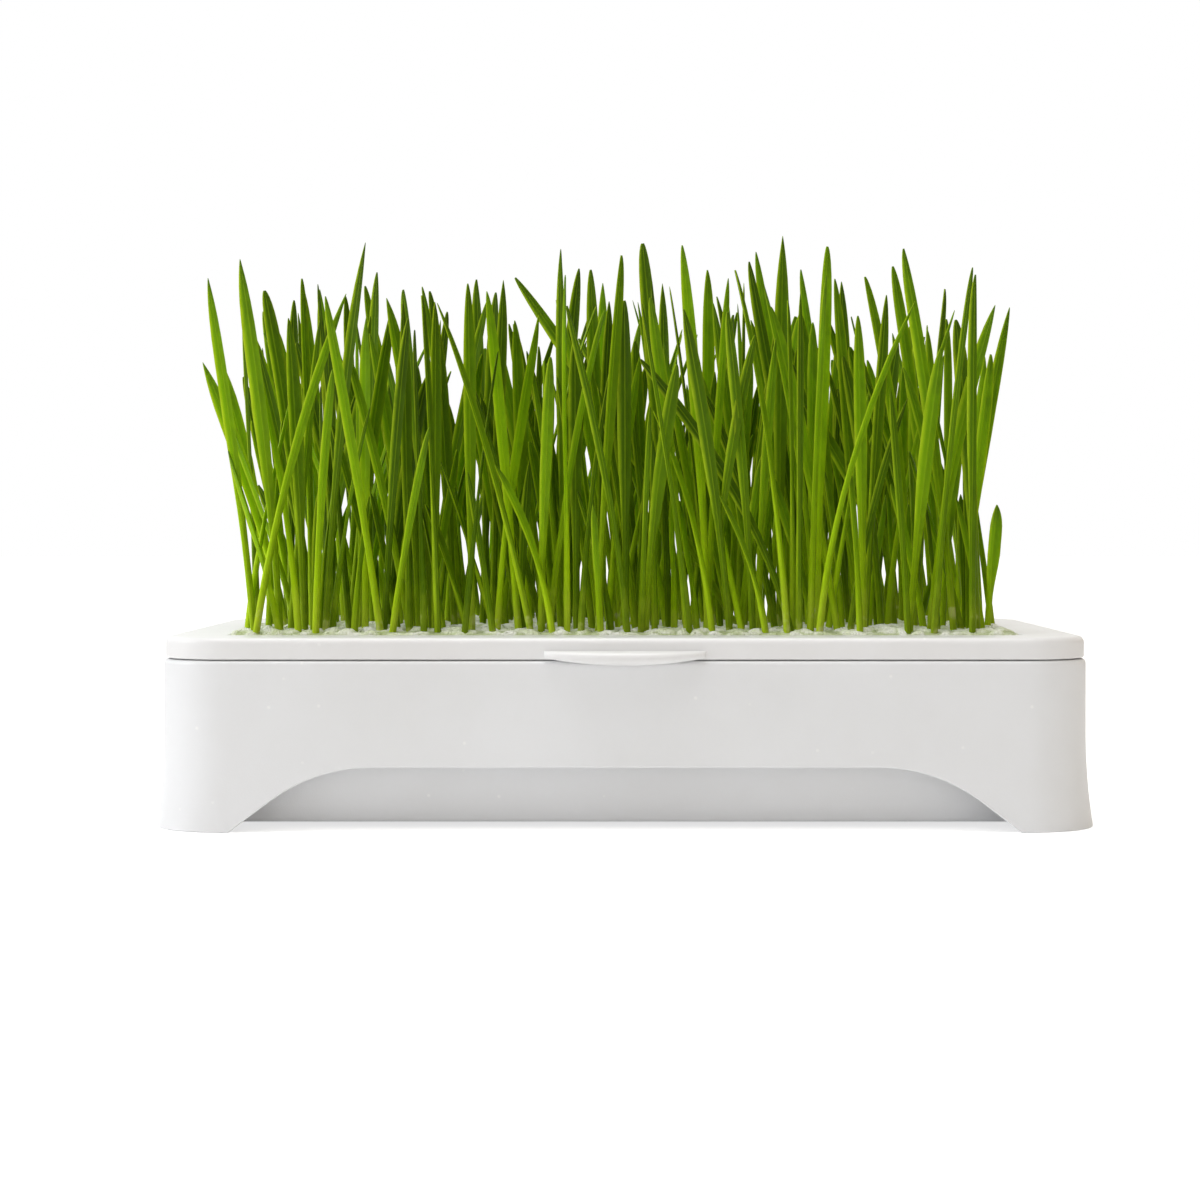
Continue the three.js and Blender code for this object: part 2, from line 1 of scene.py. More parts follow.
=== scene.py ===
import bpy
import numpy as np
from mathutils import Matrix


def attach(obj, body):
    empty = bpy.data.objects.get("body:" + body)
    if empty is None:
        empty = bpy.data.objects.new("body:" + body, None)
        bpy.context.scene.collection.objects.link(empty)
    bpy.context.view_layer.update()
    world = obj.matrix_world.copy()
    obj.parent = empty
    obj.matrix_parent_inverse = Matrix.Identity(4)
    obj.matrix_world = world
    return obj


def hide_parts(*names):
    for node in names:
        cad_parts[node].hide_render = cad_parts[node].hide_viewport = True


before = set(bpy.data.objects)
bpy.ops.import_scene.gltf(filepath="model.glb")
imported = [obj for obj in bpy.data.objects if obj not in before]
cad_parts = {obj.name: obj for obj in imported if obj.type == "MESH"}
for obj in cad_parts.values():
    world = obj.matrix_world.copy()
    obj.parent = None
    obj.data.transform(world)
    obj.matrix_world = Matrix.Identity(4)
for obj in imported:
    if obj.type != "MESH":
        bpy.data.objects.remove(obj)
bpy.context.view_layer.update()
mm = 0.001
print("frame loaded:", len(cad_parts), "nodes")


# Mesh building from whole arrays

def quadFaces(index):
    # the quads between neighbouring rows and columns of a grid of point numbers
    quads = [index[:-1, :-1], index[1:, :-1], index[1:, 1:], index[:-1, 1:]]
    return np.stack(quads, axis=-1).reshape(-1, 4)


def tubeFaces(rows, columns):
    # rows run downwards and columns counter-clockwise, and the last column joins the first
    index = np.arange(rows * columns).reshape(rows, columns)
    return quadFaces(np.hstack([index, index[:, :1]]))


def addPiece(name, points, faceSets, material, uv=None, tones=None, sharp=35):
    # faceSets holds index arrays, each with one face a row; uv and tones are given for each point
    points = np.asarray(points, dtype=np.float64).reshape(-1, 3)
    corners = np.concatenate([faces.ravel() for faces in faceSets])
    sizes = np.concatenate([np.full(len(faces), faces.shape[1]) for faces in faceSets])
    mesh = bpy.data.meshes.new(name)
    mesh.vertices.add(len(points))
    mesh.vertices.foreach_set("co", points.ravel())
    mesh.loops.add(len(corners))
    mesh.loops.foreach_set("vertex_index", corners)
    mesh.polygons.add(len(sizes))
    mesh.polygons.foreach_set("loop_start", np.cumsum(sizes) - sizes)
    mesh.polygons.foreach_set("use_smooth", np.ones(len(sizes), dtype=bool))
    mesh.update(calc_edges=True)
    if uv is not None:
        layer = mesh.uv_layers.new(name="leafUV")
        layer.data.foreach_set("uv", np.asarray(uv).reshape(-1, 2)[corners].ravel())
    if tones is not None:
        layer = mesh.attributes.new("tone", "FLOAT", "POINT")
        layer.data.foreach_set("value", np.asarray(tones).ravel())
    mesh.validate()
    mesh.set_sharp_from_angle(angle=np.radians(sharp))
    mesh.materials.append(material)
    piece = bpy.data.objects.new(name, mesh)
    bpy.context.scene.collection.objects.link(piece)
    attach(piece, "root")
    return piece


def joinShells(shells):
    # puts several (points, faceSets) into one pair, with the indices moved on
    points, faceSets, start = [], [], 0
    for shellPoints, shellFaces in shells:
        shellPoints = shellPoints.reshape(-1, 3)
        points.append(shellPoints)
        faceSets.extend(faces + start for faces in shellFaces)
        start += len(shellPoints)
    return np.concatenate(points), faceSets


def ease(low, high, value):
    # 0 up to low, 1 from high on, and a smooth step between them
    share = np.clip((value - low) / (high - low), 0, 1)
    return share * share * (3 - 2 * share)


# Node helpers

def newMaterial(name):
    material = bpy.data.materials.new(name)
    material.use_nodes = True
    tree = material.node_tree
    return material, tree, tree.nodes["Principled BSDF"]


def setInputs(tree, node, values):
    # input sockets by name or number; where the value is a socket, it is linked
    for socket, value in values.items():
        if isinstance(value, bpy.types.NodeSocket):
            tree.links.new(value, node.inputs[socket])
        else:
            node.inputs[socket].default_value = value


def addNode(tree, kind, values=None, **settings):
    node = tree.nodes.new(kind)
    for setting, value in settings.items():
        setattr(node, setting, value)
    setInputs(tree, node, values or {})
    return node


def addMath(tree, operation, first, second=0.0, third=0.0):
    values = {0: first, 1: second, 2: third}
    return addNode(tree, "ShaderNodeMath", values, operation=operation).outputs[0]


def addRange(tree, value, low, high, atLow=0.0, atHigh=1.0):
    values = {"Value": value, 1: low, 2: high, 3: atLow, 4: atHigh}
    return addNode(tree, "ShaderNodeMapRange", values).outputs[0]


def addRamp(tree, factor, stops):
    ramp = addNode(tree, "ShaderNodeValToRGB", {"Fac": factor})
    elements = ramp.color_ramp.elements
    while len(elements) < len(stops):
        elements.new(0.5)
    for element, (position, colour) in zip(elements, stops):
        element.position = position
        element.color = (*colour, 1)
    return ramp.outputs["Color"]


def addMix(tree, factor, first, second):
    # each colour is a socket or three values
    first, second = [(*each, 1) if isinstance(each, tuple) else each for each in (first, second)]
    return addNode(tree, "ShaderNodeMix", {0: factor, 6: first, 7: second}, data_type="RGBA").outputs[2]


def addBump(tree, height, strength, distance):
    bump = addNode(tree, "ShaderNodeBump", {"Height": height, "Strength": strength, "Distance": distance})
    return bump.outputs["Normal"]


def objectPlace(tree):
    return addNode(tree, "ShaderNodeTexCoord").outputs["Object"]


def addNoise(tree, place, scale, detail=3.0, roughness=0.55):
    values = {"Vector": place, "Scale": scale, "Detail": detail, "Roughness": roughness}
    return addNode(tree, "ShaderNodeTexNoise", values).outputs["Fac"]


# White moulded plastic

plastic = dict(grainScale=2600.0, rippleScale=90.0, cloudScale=22.0, cloudLow=0.35, cloudHigh=0.7,
               speckScale=210.0, speckCore=0.05, speckEdge=0.13, bareShare=0.8, speckTint=(0.97, 0.97, 0.96),
               roughness=0.26, roughnessRange=0.14, rippleHeight=0.8, speckHeight=1.5,
               relief=0.12, reliefDepth=0.2 * mm, ior=1.49, translucent=0.06, translucentDepth=4 * mm)


def mouldedFinishGroup():
    # fine mould grain, faint clouding and small pale specks of dust and dried water
    group = bpy.data.node_groups.new("mouldedFinish", "ShaderNodeTree")
    for label, direction, kind in (("Place", "INPUT", "Vector"), ("Light Tint", "INPUT", "Color"),
                                   ("Dull Tint", "INPUT", "Color"), ("Speck Amount", "INPUT", "Float"),
                                   ("Colour", "OUTPUT", "Color"), ("Roughness", "OUTPUT", "Float"),
                                   ("Height", "OUTPUT", "Float")):
        group.interface.new_socket(label, in_out=direction, socket_type="NodeSocket" + kind)
    given = group.nodes.new("NodeGroupInput").outputs
    made = group.nodes.new("NodeGroupOutput")
    place = given["Place"]
    grain = addNoise(group, place, plastic["grainScale"], 2.0)
    ripple = addNoise(group, place, plastic["rippleScale"], 2.0)
    clouds = addNoise(group, place, plastic["cloudScale"], 4.0)
    cells = addNode(group, "ShaderNodeTexVoronoi", {"Vector": place, "Scale": plastic["speckScale"]}).outputs
    chosen = addNode(group, "ShaderNodeSeparateColor", {0: cells["Color"]}).outputs[0]
    dot = addRange(group, cells["Distance"], plastic["speckCore"], plastic["speckEdge"], 1.0, 0.0)
    rare = addMath(group, "GREATER_THAN", chosen, plastic["bareShare"])
    specks = addMath(group, "MULTIPLY", addMath(group, "MULTIPLY", dot, rare), given["Speck Amount"])
    cloudShare = addRange(group, clouds, plastic["cloudLow"], plastic["cloudHigh"])
    tint = addMix(group, cloudShare, given["Light Tint"], given["Dull Tint"])
    relief = addMath(group, "MULTIPLY_ADD", ripple, plastic["rippleHeight"], grain)
    setInputs(group, made, {
        "Colour": addMix(group, specks, tint, plastic["speckTint"]),
        "Roughness": addMath(group, "MULTIPLY_ADD", clouds, plastic["roughnessRange"], plastic["roughness"]),
        "Height": addMath(group, "MULTIPLY_ADD", specks, plastic["speckHeight"], relief)})
    return group


def plasticMaterial(name, lightTint, dullTint, specks):
    material, tree, shader = newMaterial(name)
    values = {"Place": objectPlace(tree), "Light Tint": (*lightTint, 1), "Dull Tint": (*dullTint, 1),
              "Speck Amount": specks}
    finish = addNode(tree, "ShaderNodeGroup", values, node_tree=mouldedFinish).outputs
    setInputs(tree, shader, {
        "Base Color": finish["Colour"], "Roughness": finish["Roughness"],
        "Normal": addBump(tree, finish["Height"], plastic["relief"], plastic["reliefDepth"]),
        "IOR": plastic["ior"], "Subsurface Weight": plastic["translucent"],
        "Subsurface Radius": (plastic["translucentDepth"],) * 3})
    return material


mouldedFinish = mouldedFinishGroup()
tubPlastic = plasticMaterial("tubPlastic", (0.84, 0.848, 0.865), (0.805, 0.81, 0.82), 0.55)
trayPlastic = plasticMaterial("trayPlastic", (0.855, 0.855, 0.86), (0.825, 0.82, 0.82), 0.4)
print("plastic ready")


# Tray outline, shared by the tub, the grow tray and the mat

trayPlan = dict(width=252 * mm, depth=156 * mm, corner=18 * mm, smallestCorner=5 * mm,
                cornerSteps=16, longSteps=80, shortSteps=24)


def planColumns(longBreaks=()):
    # columns round the tray, counter-clockwise: share of the straight half length in x and y, and the
    # direction in which the corner radius points there
    longSide = np.union1d(np.linspace(-1, 1, trayPlan["longSteps"]), longBreaks)[1:-1]
    shortSide = np.linspace(-1, 1, trayPlan["shortSteps"])[1:-1]
    columns = []
    for quarter in range(4):
        side = longSide if quarter % 2 else shortSide
        flat = np.full(len(side), quarter * np.pi / 2)
        turn = np.linspace(quarter, quarter + 1, trayPlan["cornerSteps"]) * np.pi / 2
        along = [(np.ones_like(side), side), (-side, np.ones_like(side)),
                 (-np.ones_like(side), -side), (side, -np.ones_like(side))][quarter]
        corner = [(1, 1), (-1, 1), (-1, -1), (1, -1)][quarter]
        columns.append(np.stack([along[0], along[1], np.cos(flat), np.sin(flat)]))
        columns.append(np.stack([np.full_like(turn, corner[0]), np.full_like(turn, corner[1]),
                                 np.cos(turn), np.sin(turn)]))
    return np.hstack(columns)


def sweepRows(columns, rows):
    # a rounded rectangle for each profile row (inset, height): corner centre plus radius times direction
    count = columns.shape[1]
    inset = np.stack([np.broadcast_to(row[0], count) for row in rows])
    height = np.stack([np.broadcast_to(row[1], count) for row in rows])
    radius = np.maximum(trayPlan["corner"] - inset, trayPlan["smallestCorner"])
    shareX, shareY, towardsX, towardsY = columns
    x = shareX * (trayPlan["width"] / 2 - inset - radius) + towardsX * radius
    y = shareY * (trayPlan["depth"] / 2 - inset - radius) + towardsY * radius
    return np.stack([x, y, height], axis=-1)


def cappedSweep(columns, rows):
    # the swept rows closed by a flat cap at the first and the last row
    points = sweepRows(columns, rows)
    rowCount, count = points.shape[:2]
    firstCap = np.arange(count)[None, :]
    lastCap = (np.arange(count) + (rowCount - 1) * count)[None, ::-1]
    return points, [tubeFaces(rowCount, count), firstCap, lastCap]


def arcRows(inset, height, radius, start, end, steps):
    # part of a circle in the profile, about (inset, height), between two angles in degrees
    angles = np.radians(np.linspace(start, end, steps))
    return [(inset + radius * np.cos(angle), height + radius * np.sin(angle)) for angle in angles]


# Base tub

tub = dict(shoulder=45.8 * mm, shoulderRound=1.3 * mm, upstand=49.6 * mm, upstandInset=2.8 * mm, wall=2 * mm,
           flare=2 * mm, flareHeight=26 * mm, cavityRoof=42 * mm, basinFloor=3.6 * mm,
           basinUnderside=1.6 * mm, basinInset=12 * mm, fillet=1.3 * mm, lip=0.4 * mm, edgeRound=0.55 * mm,
           archHalfTop=68 * mm, archHeight=17.2 * mm, archRadius=45 * mm, archSlope=np.radians(37),
           flatRun=2 * mm, shortRun=0.3 * mm, roofStep=1 * mm, wallRows=22, basinRows=12)


def flareAt(height):
    # the wall stands out by the square of the share that is left up to the flare's height
    return tub["flare"] * np.clip(1 - height / tub["flareHeight"], 0, None) ** 2


def basinInset(height):
    # the basin's inner wall leans in from the upstand to the basin's floor
    top = tub["upstandInset"] + tub["wall"]
    share = (tub["upstand"] - height) / (tub["upstand"] - tub["basinFloor"])
    return top + (tub["basinInset"] - top) * share


def archEdge(columns):
    # height of the wall's lower edge: flat top, round shoulder, straight slope, and the floor at the feet
    radius, slope = tub["archRadius"], tub["archSlope"]
    across = np.abs(columns[0]) * (trayPlan["width"] / 2 - trayPlan["corner"])
    past = np.clip(across - tub["archHalfTop"], 0, radius * np.sin(slope))
    shoulder = tub["archHeight"] - (radius - np.sqrt(radius ** 2 - past ** 2))
    beyond = np.clip(across - tub["archHalfTop"] - radius * np.sin(slope), 0, None)
    edge = np.clip(shoulder - beyond * np.tan(slope), 0, None)
    onLongSide = (np.abs(columns[1]) == 1) & (np.abs(columns[0]) < 1)
    return np.where(onLongSide, edge, 0)


def archBreaks():
    # where the arch changes form, as shares of the straight half length
    halfStraight = trayPlan["width"] / 2 - trayPlan["corner"]
    arcEnd = tub["archHalfTop"] + tub["archRadius"] * np.sin(tub["archSlope"])
    arcDrop = tub["archHeight"] - tub["archRadius"] * (1 - np.cos(tub["archSlope"]))
    footStart = arcEnd + arcDrop / np.tan(tub["archSlope"])
    breaks = np.array([tub["archHalfTop"], arcEnd, footStart]) / halfStraight
    return np.concatenate([-breaks, breaks])


def wallRows(edge):
    # down the outer wall, round its lower edge and up the inner wall to the roof of the hollow
    rounding, wall = tub["edgeRound"], tub["wall"]
    low = edge + rounding
    shares = np.linspace(1, 0, tub["wallRows"])
    wallTop, roof = tub["shoulder"] - tub["shoulderRound"], tub["cavityRoof"]
    outerHeights = [low + (wallTop - edge - rounding) * share for share in shares]
    innerHeights = [low + (roof - edge - rounding) * share for share in shares[::-1]]
    turns = [(rounding * (1 - np.cos(angle)), edge + rounding * (1 - np.sin(angle)))
             for angle in np.radians([20, 45, 70, 90])]
    return [*[(-flareAt(height), height) for height in outerHeights],
            *[(-flareAt(edge) + inwards, height) for inwards, height in turns],
            *[(wall - flareAt(edge) - inwards, height) for inwards, height in turns[::-1]],
            *[(wall - flareAt(height), height) for height in innerHeights]]


def buildTub():
    # from the middle of the basin's floor up over the upstand, down the wall and back under the basin
    columns = planColumns(archBreaks())
    lip, fillet, shoulder = tub["lip"], tub["fillet"], tub["shoulder"]
    shoulderRound, upstand, roof = tub["shoulderRound"], tub["upstand"], tub["cavityRoof"]
    upstandInset, floor, under = tub["upstandInset"], tub["basinFloor"], tub["basinUnderside"]
    floorCorner = tub["basinInset"] + fillet
    underInset = basinInset(under) - tub["wall"]
    rows = [
        (floorCorner + tub["flatRun"], floor),
        (floorCorner, floor),
        (basinInset(floor + fillet * 0.4) + fillet * 0.2, floor + fillet * 0.3),  # middle of the fillet
        (basinInset(floor + fillet), floor + fillet),
        (basinInset(upstand - tub["flatRun"]), upstand - tub["flatRun"]),
        *arcRows(upstandInset + tub["wall"] - lip, upstand - lip, lip, 0, 90, steps=4),
        *arcRows(upstandInset + lip, upstand - lip, lip, 90, 180, steps=4),
        (upstandInset, shoulder + tub["shortRun"]),
        (upstandInset, shoulder),
        (shoulderRound + tub["shortRun"], shoulder),
        *arcRows(shoulderRound, shoulder - shoulderRound, shoulderRound, 90, 180, steps=7)[:-1],
        *wallRows(archEdge(columns)),
        (basinInset(roof) - tub["wall"], roof),
        *[(basinInset(height) - tub["wall"], height)
          for height in np.linspace(roof - tub["roofStep"], under + fillet, tub["basinRows"])],
        *arcRows(underInset + fillet, under + fillet, fillet, 200, 270, steps=6),
        (underInset + fillet + tub["flatRun"], under),
    ]
    points, faceSets = cappedSweep(columns, rows)
    piece = addPiece("tub", points, faceSets, tubPlastic)
    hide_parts("base_tub")
    print("tub:", len(points.reshape(-1, 3)), "points")


buildTub()


# Grow tray with its tab and slotted floor

growTray = dict(rim=52 * mm, plate=2 * mm, rimRound=1.8 * mm, setback=0.5 * mm, skirtBottom=46.1 * mm,
                skirt=2 * mm, skirtRound=0.4 * mm, opening=17 * mm, draft=1.6 * mm, lip=0.6 * mm,
                floor=45 * mm, floorPlate=1.6 * mm, slotLength=17 * mm, slotWidth=3.2 * mm,
                slotColumns=8, slotRows=7, slotPitchX=24 * mm, slotPitchY=15 * mm, overlap=0.1 * mm,
                wallFoot=1 * mm, flatRun=0.5 * mm, rimRun=0.6 * mm, skirtRun=0.4 * mm, chamfer=0.3 * mm,
                underRun=0.2 * mm)

tab = dict(halfWidth=21.6 * mm, top=48.4 * mm, endHeight=1.8 * mm, sag=1.9 * mm, reach=5 * mm,
           clear=0.4 * mm, root=1 * mm, bowSpread=0.85, endReach=0.2 * mm, rootLift=0.2 * mm,
           noseDepth=1.1, noseLimit=0.95, columns=64, noseSteps=14)


def tabShell():
    # a rounded nose carried along the tab: its front follows a bow in plan, its lower edge a shallow sag
    share = np.linspace(0, 1, tab["columns"])[None, :]
    hump = 4 * share * (1 - share)
    spread = tab["bowSpread"] * tab["halfWidth"]
    x = (tab["halfWidth"] * (share ** 3 - (1 - share) ** 3)
         + 3 * spread * (share ** 2 * (1 - share) - share * (1 - share) ** 2))
    front = -trayPlan["depth"] / 2
    nose = front - tab["clear"] - tab["endReach"] - (tab["reach"] - tab["clear"]) * hump
    low = tab["top"] - tab["endHeight"] - tab["sag"] * (1 - (x / tab["halfWidth"]) ** 2)
    halfHeight = (tab["top"] - low) / 2
    depth = np.minimum(halfHeight * tab["noseDepth"], (front - tab["clear"] - nose) * tab["noseLimit"])
    angles = np.radians(np.linspace(90, -90, tab["noseSteps"]))[:, None]
    noseY = nose + depth * (1 - np.cos(angles))
    noseZ = tab["top"] - halfHeight * (1 - np.sin(angles))
    rootY = np.full_like(x, front + tab["root"])
    rootZ = np.maximum(low, growTray["skirtBottom"] + tab["rootLift"])
    clearY = np.full_like(x, front - tab["clear"])
    y = np.vstack([rootY, noseY, clearY, clearY, rootY])
    z = np.vstack([np.full_like(x, tab["top"]), noseZ, low, rootZ, rootZ])
    points = np.stack([np.broadcast_to(x, y.shape), y, z], axis=-1)
    index = np.arange(x.size * len(y)).reshape(y.shape)
    return points, [quadFaces(np.vstack([index, index[:1]])), index[::-1, :1].T, index[:, -1:].T]


def slotLines(count, pitch, width, half):
    # both edges of every slot in a row, between the ends of the plate
    middles = (np.arange(count) - (count - 1) / 2) * pitch
    edges = np.sort(np.concatenate([middles - width / 2, middles + width / 2]))
    return np.concatenate([[-half], edges, [half]])


def slottedFloorShell():
    # a plate on a grid of cells whose lines run along the slots' edges; cells inside a slot are left open
    inset = growTray["opening"] + growTray["draft"] - growTray["skirt"] * 0.5  # half way into the wall
    halfX, halfY = trayPlan["width"] / 2 - inset, trayPlan["depth"] / 2 - inset
    xs = slotLines(growTray["slotColumns"], growTray["slotPitchX"], growTray["slotLength"], halfX)
    ys = slotLines(growTray["slotRows"], growTray["slotPitchY"], growTray["slotWidth"], halfY)
    solid = ~((np.arange(len(xs) - 1) % 2 == 1)[:, None] & (np.arange(len(ys) - 1) % 2 == 1)[None, :])
    gridX, gridY = np.meshgrid(xs, ys, indexing="ij")
    layers = [np.stack([gridX, gridY, np.full_like(gridX, height)], axis=-1)
              for height in (growTray["floor"], growTray["floor"] - growTray["floorPlate"])]
    under = gridX.size
    cells = quadFaces(np.arange(under).reshape(gridX.shape)).reshape(*solid.shape, 4)
    padded = np.pad(solid, 1)
    walls = []
    # a wall stands where the cell on that side is open: step to it, and the two corners of the shared edge
    for stepX, stepY, first, second in ((1, 0, 1, 2), (-1, 0, 3, 0), (0, 1, 2, 3), (0, -1, 0, 1)):
        beside = padded[1 + stepX:padded.shape[0] - 1 + stepX, 1 + stepY:padded.shape[1] - 1 + stepY]
        edge = cells[solid & ~beside]
        start, end = edge[:, first], edge[:, second]
        walls.append(np.stack([start, start + under, end + under, end], axis=-1))
    faceSets = [cells[solid], (cells[solid] + under)[:, ::-1], np.concatenate(walls)]
    return np.concatenate([layer.reshape(-1, 3) for layer in layers]), faceSets


def buildGrowTray():
    # the profile runs up the inner wall, over the rim, down the skirt and back under the plate
    columns = planColumns()
    rim, floor, opening, skirt = growTray["rim"], growTray["floor"], growTray["opening"], growTray["skirt"]
    lip, rounding, small = growTray["lip"], growTray["rimRound"], growTray["skirtRound"]
    skirtBottom, outer, overlap = growTray["skirtBottom"], growTray["setback"], growTray["overlap"]
    flatRun, chamfer = growTray["flatRun"], growTray["chamfer"]
    underside = rim - growTray["plate"]
    floorUnder = floor - growTray["floorPlate"]
    floorInset = opening + growTray["draft"]
    rows = [
        (floorInset, floor - overlap),
        (floorInset - overlap, floor + growTray["wallFoot"]),
        *arcRows(opening - lip, rim - lip, lip, 0, 90, steps=5),
        (opening - lip - flatRun, rim),
        (outer + rounding + growTray["rimRun"], rim),
        *arcRows(outer + rounding, rim - rounding, rounding, 90, 180, steps=9),
        (outer, rim - rounding - flatRun),
        (outer, skirtBottom + small + growTray["skirtRun"]),
        *arcRows(outer + small, skirtBottom + small, small, 180, 270, steps=4),
        *arcRows(skirt - small, skirtBottom + small, small, 270, 360, steps=4),
        (skirt, underside - chamfer),
        (skirt + chamfer, underside),
        (opening - skirt, underside),
        (floorInset - skirt, floorUnder),
        (floorInset - growTray["underRun"], floorUnder),
    ]
    points = sweepRows(columns, rows)
    index = np.arange(points.shape[0] * points.shape[1]).reshape(points.shape[:2])
    around = np.vstack([index, index[:1]])
    ring = quadFaces(np.hstack([around, around[:, :1]]))
    allPoints, faceSets = joinShells([(points, [ring]), tabShell(), slottedFloorShell()])
    piece = addPiece("growTray", allPoints, faceSets, trayPlastic)
    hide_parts("grow_tray")
    print("grow tray:", len(allPoints), "points")


buildGrowTray()


# Root mat

# the hollow tint and its range are painted shade: a darker mint-green mixed into the hollows between the
# grains
felt = dict(patchScale=160.0, fleckScale=620.0, threadScale=260.0, threadTangle=14.0, threadHeight=0.6,
            hollowShadeTint=(0.40, 0.47, 0.20), hollowShadeLow=0.05, hollowShadeHigh=0.45, hollowShadeShare=0.8,
            fleckTint=(0.24, 0.27, 0.09), fleckLow=0.30, fleckHigh=0.40, fleckShare=0.75,
            roughness=0.8, relief=0.6, reliefDepth=0.6 * mm,
            tints=[(0.32, (0.52, 0.60, 0.30)), (0.45, (0.74, 0.79, 0.58)),
                   (0.55, (0.84, 0.86, 0.75)), (0.7, (0.90, 0.91, 0.86))])


def matMaterial():
    # pale grains and felted roots with dark flecks, and painted shade that turns the hollows between the
    # grains a darker mint-green
    material, tree, shader = newMaterial("rootFelt")
    place = objectPlace(tree)
    patches = addNoise(tree, place, felt["patchScale"], 4.0, 0.6)
    flecks = addNoise(tree, place, felt["fleckScale"], 3.0, 0.65)
    wave = {"Vector": place, "Scale": felt["threadScale"], "Distortion": felt["threadTangle"], "Detail": 3.0,
            "Detail Scale": 1.6}
    threads = addNode(tree, "ShaderNodeTexWave", wave).outputs["Fac"]
    lift = addNode(tree, "ShaderNodeAttribute", attribute_name="tone").outputs["Fac"]
    # painted shade: the lower a point sits between the grains, the more of the darker hollow tint it takes
    hollowShadeMask = addRange(tree, lift, felt["hollowShadeLow"], felt["hollowShadeHigh"], felt["hollowShadeShare"], 0.0)
    dark = addRange(tree, flecks, felt["fleckLow"], felt["fleckHigh"], felt["fleckShare"], 0.0)
    withHollowShade = addMix(tree, hollowShadeMask, addRamp(tree, patches, felt["tints"]), felt["hollowShadeTint"])
    relief = addMath(tree, "MULTIPLY_ADD", threads, felt["threadHeight"], flecks)
    setInputs(tree, shader, {
        "Base Color": addMix(tree, dark, withHollowShade, felt["fleckTint"]), "Roughness": felt["roughness"],
        "Normal": addBump(tree, relief, felt["relief"], felt["reliefDepth"])})
    return material


rootMat = dict(top=52.6 * mm, inset=17.4 * mm, rounding=3.4 * mm, drop=1 * mm, draft=1.6 * mm,
               bottom=45.4 * mm, columns=336, rows=188, cell=4.4 * mm, grainLong=3.1 * mm,
               grainShort=1.7 * mm, grainLift=1.2 * mm, leastLift=0.4, liftRange=0.9, swell=0.35 * mm,
               swellX=9 * mm, swellY=7 * mm, edgeCalm=0.6, chances=96, seed=5)


def grainHeights(x, y):
    # one grain in each cell of a square grid, shifted and turned by chance: the height is that of the
    # highest half ellipsoid over the point, among the nine nearest cells
    count, cell = rootMat["chances"], rootMat["cell"]
    table = np.random.default_rng(rootMat["seed"]).random((count, count, 4))
    cellX, cellY = np.floor(x / cell).astype(int), np.floor(y / cell).astype(int)
    height = np.zeros_like(x)
    for stepX in (-1, 0, 1):
        for stepY in (-1, 0, 1):
            chances = table[(cellX + stepX) % count, (cellY + stepY) % count]
            shiftX, shiftY, turn, size = np.moveaxis(chances, -1, 0)
            awayX = x - (cellX + stepX + shiftX) * cell
            awayY = y - (cellY + stepY + shiftY) * cell
            along = awayX * np.cos(np.pi * turn) + awayY * np.sin(np.pi * turn)
            aside = awayY * np.cos(np.pi * turn) - awayX * np.sin(np.pi * turn)
            inside = 1 - (along / rootMat["grainLong"]) ** 2 - (aside / rootMat["grainShort"]) ** 2
            lift = rootMat["grainLift"] * (rootMat["leastLift"] + rootMat["liftRange"] * size)
            height = np.maximum(height, lift * np.sqrt(np.clip(inside, 0, None)))
    return height


def matRelief(x, y):
    # the grains on a gentle swell, a sine across times a cosine in depth
    swell = rootMat["swell"] * np.sin(x / rootMat["swellX"]) * np.cos(y / rootMat["swellY"])
    return grainHeights(x, y) + swell


def buildRootMat():
    halfX, halfY = trayPlan["width"] / 2 - rootMat["inset"], trayPlan["depth"] / 2 - rootMat["inset"]
    flatX, flatY = np.meshgrid(np.linspace(-halfX, halfX, rootMat["columns"]),
                               np.linspace(-halfY, halfY, rootMat["rows"]), indexing="ij")
    # each corner square is drawn in to a quarter disc
    radius = trayPlan["smallestCorner"]
    pastX, pastY = np.abs(flatX) - (halfX - radius), np.abs(flatY) - (halfY - radius)
    inCorner = (pastX > 0) & (pastY > 0)
    pull = np.where(inCorner, np.maximum(pastX, pastY) / np.maximum(np.hypot(pastX, pastY), 1e-9), 1)
    x = np.where(inCorner, np.sign(flatX) * (halfX - radius + pastX * pull), flatX)
    y = np.where(inCorner, np.sign(flatY) * (halfY - radius + pastY * pull), flatY)
    # the top falls off round the edge and carries the grains
    edge = np.minimum(halfX - np.abs(flatX), halfY - np.abs(flatY))
    fall = np.clip(1 - edge / rootMat["rounding"], 0, 1)
    relief = matRelief(x, y) * (1 - rootMat["edgeCalm"] * fall)
    z = rootMat["top"] - rootMat["drop"] * (1 - np.sqrt(1 - fall ** 2)) + relief
    top = np.stack([x, y, z], axis=-1).reshape(-1, 3)
    # the wall leans in from the border down to a flat underside
    index = np.arange(x.size).reshape(x.shape)
    border = np.concatenate([index[:, 0], index[-1, 1:], index[-2::-1, -1], index[0, -2:0:-1]])
    lower = top[border] * [1 - rootMat["draft"] / halfX, 1 - rootMat["draft"] / halfY, 0]
    lower[:, 2] = rootMat["bottom"]
    foot = x.size + np.arange(len(border))
    walls = np.stack([border, foot, np.roll(foot, -1), np.roll(border, -1)], axis=-1)
    points = np.concatenate([top, lower])
    # each point's height among the grains, which sets how much painted shade its hollow gets
    lift = np.clip(matRelief(*points[:, :2].T) / rootMat["grainLift"], 0, 1)
    faceSets = [quadFaces(index), walls, foot[None, ::-1]]
    piece = addPiece("rootMat", points, faceSets, rootFelt, tones=lift, sharp=60)
    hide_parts("root_mat")
    print("root mat:", len(points), "points")


rootThreads = dict(count=300, rows=9, sides=4, length=9 * mm, shortest=0.5, longest=1.4, sway=1.6 * mm,
                   waves=5, radius=0.2 * mm, thinning=0.5, margin=6 * mm, seed=31)


